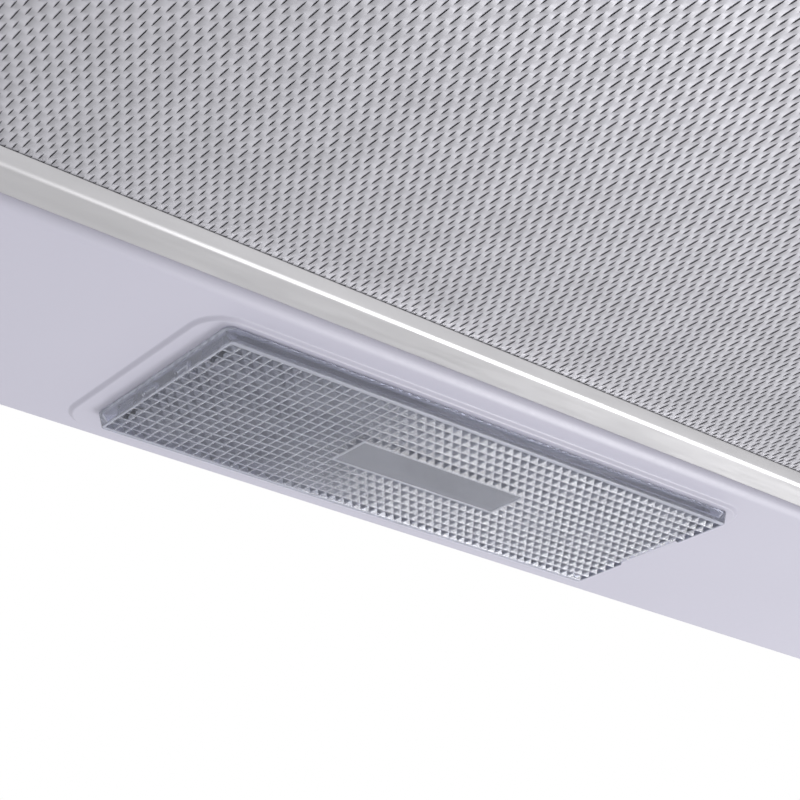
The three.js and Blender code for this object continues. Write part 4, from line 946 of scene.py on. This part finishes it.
def filter_mesh():
    """Expanded aluminium: a sheet slit in staggered rows, with one lip of each slit
    pressed down out of the sheet like a scale.

    Points come in layers of the whole lattice: the sheet's left and right lips, the
    same again as the lower rims of the cut edges, and their upper rims."""
    xs, ys, split = mesh_lattice()
    x, y = np.meshgrid(xs, ys, indexing="ij")
    aside = split * SLIT_OPEN
    z = np.full_like(x, mesh_low.z)
    left = np.stack([x - aside, y, z + split * LEFT_LIP_LIFT], -1)
    right = np.stack([x + aside, y, z - split * RIGHT_LIP_DROP], -1)
    upright, leaning = np.array([[0, 0, STRAND], [STRAND_LEAN, 0, STRAND]])
    layers = [left, right, left, right, left + upright, right + leaning]
    left_lip, right_lip, left_rim, right_rim, left_top, right_top = (
        np.arange(len(layers) * x.size).reshape(len(layers), *x.shape)
    )
    row_middle = (ys[None, :-1] + ys[None, 1:]) / 2
    cell_middle = (xs[:-1, None] + xs[1:, None]) / 2
    here, beside = right_lip[:-1], left_lip[1:]
    sheet = np.stack([here[:, :-1], here[:, 1:], beside[:, 1:], beside[:, :-1]], -1)
    faces = [sheet[clear_of_latches(cell_middle, row_middle)]]
    slit = split[:, :-1] | split[:, 1:]
    slit[[0, -1]] = False
    slit &= clear_of_latches(xs[:, None], row_middle)
    for rim, top, turn in ((left_rim, left_top, 1), (right_rim, right_top, -1)):
        corners = (rim[:, :-1], rim[:, 1:], top[:, 1:], top[:, :-1])[::turn]
        faces.append(np.stack(corners, -1)[slit])
    points = np.concatenate([layer.reshape(-1, 3) for layer in layers])
    return mesh_from_arrays("filter_mesh", points, np.concatenate(faces))


def clear_of_latches(x, y):
    """True where the lattice isn't over a latch housing."""
    low, high = box_mm("latch_housing_right")
    margin = 1.0
    beside = (np.abs(x) <= low.x - margin) | (np.abs(x) >= high.x + margin)
    return beside | (y >= high.y + margin)


def mesh_from_arrays(name, points, faces):
    """An object of four-sided faces, without the points that no face uses."""
    used = np.zeros(len(points), bool)
    used[faces.ravel()] = True
    renumber = np.cumsum(used) - 1
    points, faces = points[used], renumber[faces]
    data = bpy.data.meshes.new(name)
    data.vertices.add(len(points))
    data.vertices.foreach_set("co", points.astype(np.float32).ravel())
    data.loops.add(faces.size)
    data.loops.foreach_set("vertex_index", faces.astype(np.int32).ravel())
    data.polygons.add(len(faces))
    data.polygons.foreach_set("loop_start", np.arange(0, faces.size, 4, dtype=np.int32))
    data.polygons.foreach_set("use_smooth", np.ones(len(faces), bool))
    data.update(calc_edges=True)
    lay_out(data, points, faces)
    piece = bpy.data.objects.new(name, data)
    bpy.context.scene.collection.objects.link(piece)
    return piece


def lay_out(data, points, faces):
    """A flat map of the mesh, seen slightly from one side so that no edge vanishes."""
    sideways = 0.35
    flat = points[:, :2] + points[:, 2:] * sideways
    low, high = flat.min(0), flat.max(0)
    spots = ((flat - low) / (high - low).max())[faces.ravel()]
    layout = data.uv_layers.new(name="OFBake")
    layout.uv.foreach_set("vector", spots.astype(np.float32).ravel())


# ------------------------------------------------------------------ lamp cover
def prism_field(mesh, face_z):
    """Sunk four-sided prisms with narrow ridges, round a plain patch in the middle.

    Returns the loop of vertices round the field and the loop round the patch."""
    size = cover_size()
    span = [side - 2 * border for side, border in zip(size, PRISM_BORDER)]
    pitch = [span[axis] / PRISMS[axis] for axis in (0, 1)]
    start = [lamp_middle[axis] - span[axis] / 2 for axis in (0, 1)]
    grid = [
        [
            mesh.verts.new((start[0] + i * pitch[0], start[1] + j * pitch[1], face_z))
            for j in range(PRISMS[1] + 1)
        ]
        for i in range(PRISMS[0] + 1)
    ]
    i0, j0 = [(PRISMS[axis] - LABEL_CELLS[axis]) // 2 for axis in (0, 1)]
    i1, j1 = i0 + LABEL_CELLS[0], j0 + LABEL_CELLS[1]
    for i in range(PRISMS[0]):
        for j in range(PRISMS[1]):
            if not (i0 <= i < i1 and j0 <= j < j1):
                corners = [grid[i][j], grid[i + 1][j], grid[i + 1][j + 1], grid[i][j + 1]]
                sunk_prism(mesh, corners, pitch, face_z)
    return ring_of(grid, 0, PRISMS[0], 0, PRISMS[1]), ring_of(grid, i0, i1, j0, j1)


def sunk_prism(mesh, corners, pitch, face_z):
    """A four-sided pit inside a flat rim, in one cell of the field."""
    middle = sum((corner.co for corner in corners), Vector()) / 4
    rim = []
    for sx, sy in ((-1, -1), (1, -1), (1, 1), (-1, 1)):
        x = middle.x + sx * (pitch[0] / 2 - PRISM_LAND)
        y = middle.y + sy * (pitch[1] / 2 - PRISM_LAND)
        rim.append(mesh.verts.new((x, y, face_z)))
    apex = mesh.verts.new((middle.x, middle.y, face_z + PRISM_DEPTH))
    for a in range(4):
        b = (a + 1) % 4
        mesh.faces.new((corners[a], corners[b], rim[b], rim[a]))
        mesh.faces.new((rim[a], rim[b], apex))


def ring_of(grid, i0, i1, j0, j1):
    """The grid's vertices round a block of cells, anticlockwise."""
    bottom = [grid[i][j0] for i in range(i0, i1)]
    right = [grid[i1][j] for j in range(j0, j1)]
    top = [grid[i][j1] for i in range(i1, i0, -1)]
    left = [grid[i0][j] for j in range(j1, j0, -1)]
    return bottom + right + top + left


def cover_body():
    """The cover's shell: walls that lean out to the foot, and the face with its prisms."""
    size = cover_size()
    foot = (size[0] + 2 * COVER_LEAN, size[1] + 2 * COVER_SIDE_LEAN)
    foot_z = boss_z - FIT_GAP
    face_z = cover_low.z
    roof_z = face_z + COVER_FACE
    mesh = bmesh.new()
    outside = [rounded_loop(foot, COVER_FOOT_RADIUS, lamp_middle, foot_z)]
    for inward, up in bend(COVER_EDGE, 5):
        z = face_z + up
        outside.append(rounded_loop(size, COVER_FACE_RADIUS, lamp_middle, z, -inward))
    inside = [
        rounded_loop(outline, COVER_FOOT_RADIUS, lamp_middle, z, -COVER_WALL - inward)
        for outline, z, inward in (
            (foot, foot_z, 0.0), (size, roof_z + 0.3, 0.0), (size, roof_z, 0.3),
        )
    ]
    roof, face = skin(mesh, [*reversed(inside), *outside])
    field, patch = prism_field(mesh, face_z)
    fill(mesh, face, field)
    label = [
        rounded_loop(LABEL_SIZE, LABEL_RADIUS, lamp_middle, face_z + up, outward, 2)
        for outward, up in ((0.12, 0.0), (0.0, 0.0), (-0.15, LABEL_STEP))
    ]
    outer, inner = skin(mesh, label)
    fill(mesh, patch, outer)
    fill(mesh, inner)
    fill(mesh, roof)
    return to_object("cover", mesh)


def hook_sides():
    """The two ends along Y of each hook, and of the catch opposite it."""
    middles = (lamp_middle[1] - HOOK_SPREAD, lamp_middle[1] + HOOK_SPREAD)
    return [(y - HOOK_WIDTH / 2, y + HOOK_WIDTH / 2) for y in middles]


def cover_hooks():
    """Two hooks at the left end, two catches at the right, and ribs along the ends."""
    mesh = bmesh.new()
    end = LAMP_OPENING[0] / 2
    root = cover_low.z + COVER_FACE - WELD
    near, far = HOOK_SHANK
    for y0, y1 in hook_sides():
        add_block(mesh, (near - end, y0, root), (far - end, y1, cover_high.z))
        add_block(mesh, (end - far, y0, root), (end - near, y1, panel_z + CATCH_HEIGHT))
    wall = cover_size()[0] / 2 - COVER_WALL
    for y in (lamp_middle[1] - RIB_SPREAD, lamp_middle[1] + RIB_SPREAD):
        y0, y1 = y - RIB_WIDTH / 2, y + RIB_WIDTH / 2
        for side in (-1, 1):
            x0, x1 = sorted((side * (wall - RIB_DEPTH), side * (wall + WELD)))
            add_block(mesh, (x0, y0, root), (x1, y1, boss_z - RIB_GAP))
    return to_object("cover_hooks", mesh)


def cover_barbs():
    """The hooks' barbs, which reach over the panel beyond the lamp opening's left end."""
    mesh = bmesh.new()
    end, top = LAMP_OPENING[0] / 2, cover_high.z
    outer, inner = HOOK_BARB
    for y0, y1 in hook_sides():
        add_block(mesh, (outer - end, y0, top - BARB_HEIGHT), (inner - end, y1, top))
    return to_object("cover_barbs", mesh)


def cover_notch():
    """The finger notch in the middle of the right end."""
    mesh = bmesh.new()
    right = cover_size()[0] / 2
    y0, y1 = lamp_middle[1] - NOTCH_WIDTH / 2, lamp_middle[1] + NOTCH_WIDTH / 2
    low = (right - NOTCH_DEPTH, y0, cover_low.z - CUT_PAST)
    high = (right + COVER_LEAN + CUT_PAST, y1, cover_low.z + NOTCH_HEIGHT)
    add_block(mesh, low, high)
    return to_object("cover_notch", mesh)


def lamp_cover():
    cover = cover_body()
    combine(cover, cover_hooks(), "UNION")
    combine(cover, cover_barbs(), "UNION")
    combine(cover, cover_notch(), "DIFFERENCE")
    shade(cover, angle=24.0)
    return place(cover, "lamp_cover", "clear_cover", "lamp_cover")


# ------------------------------------------------------------------ studio
def add_camera():
    data = bpy.data.cameras.new("camera")
    data.lens = CAMERA_LENS
    data.sensor_width = 36.0
    data.clip_start = 0.01
    camera = bpy.data.objects.new("camera", data)
    aim = Euler((math.radians(90 + CAMERA_PITCH), 0, -math.radians(CAMERA_HEADING)))
    roll = Matrix.Rotation(math.radians(CAMERA_ROLL), 3, "Z")
    turn = (aim.to_matrix() @ roll).to_4x4()
    camera.matrix_world = Matrix.Translation(Vector(CAMERA_SPOT) * MM) @ turn
    bpy.context.scene.collection.objects.link(camera)
    bpy.context.scene.camera = camera


def add_softbox(name, spot, target, size, power):
    """A white area light, placed and sized in metres, with its power in watts."""
    data = bpy.data.lights.new(name, "AREA")
    data.shape = "RECTANGLE"
    data.size, data.size_y = size
    data.energy = power
    light = bpy.data.objects.new(name, data)
    light.location = spot
    aim = Vector(target) - Vector(spot)
    light.rotation_euler = aim.to_track_quat("-Z", "Y").to_euler()
    bpy.context.scene.collection.objects.link(light)


def add_world():
    """White backdrop for the camera; the light itself is a little weaker from the left."""
    world = bpy.data.worlds.new("studio")
    world.use_nodes = True
    bpy.context.scene.world = world
    nodes, links = world.node_tree.nodes, world.node_tree.links
    nodes.clear()
    where = nodes.new("ShaderNodeTexCoord")
    split = nodes.new("ShaderNodeSeparateXYZ")
    links.new(where.outputs["Generated"], split.inputs["Vector"])
    reach = nodes.new("ShaderNodeMapRange")
    reach.inputs["From Min"].default_value = -1.0
    reach.inputs["To Min"].default_value = 0.85
    reach.inputs["To Max"].default_value = 1.03
    links.new(split.outputs["X"], reach.inputs["Value"])
    light = nodes.new("ShaderNodeBackground")
    links.new(reach.outputs["Result"], light.inputs["Strength"])
    backdrop = nodes.new("ShaderNodeBackground")
    backdrop.inputs["Color"].default_value = (1, 1, 1, 1)
    backdrop.inputs["Strength"].default_value = 1.0
    path = nodes.new("ShaderNodeLightPath")
    mix = nodes.new("ShaderNodeMixShader")
    end = nodes.new("ShaderNodeOutputWorld")
    links.new(path.outputs["Is Camera Ray"], mix.inputs["Fac"])
    links.new(light.outputs["Background"], mix.inputs[1])
    links.new(backdrop.outputs["Background"], mix.inputs[2])
    links.new(mix.outputs["Shader"], end.inputs["Surface"])


def add_floor():
    mesh = bmesh.new()
    bmesh.ops.create_grid(mesh, x_segments=8, y_segments=8, size=FLOOR_REACH * MM)
    data = bpy.data.meshes.new("floor")
    mesh.to_mesh(data)
    mesh.free()
    floor = bpy.data.objects.new("floor", data)
    floor.location.z = FLOOR_LEVEL * MM
    bpy.context.scene.collection.objects.link(floor)
    data.materials.append(
        finish(
            "floor", (0.86, 0.86, 0.87), 0.7, tone=0.01, mottle=1.5, grain=60.0,
            grain_depth=0.2,
        )
    )


def build():
    add_camera()
    add_world()
    add_softbox(
        "key", spot=(0.82, 0.26, -1.13), target=(0.1, 0.1, -0.13), size=(0.75, 0.34),
        power=7.8,
    )
    add_softbox(
        "fill", spot=(-1.3, -1.9, 1.4), target=(0, 0, -0.1), size=(1.6, 1.2), power=26.0
    )
    add_floor()
    dress_cad_nodes()
    lower_tray()
    canopy()
    filter_frame()
    place(filter_mesh(), "filter", "mesh_aluminium", "filter_mesh_lower")
    lamp_cover()
    bpy.context.scene.view_settings.view_transform = "Standard"


build()
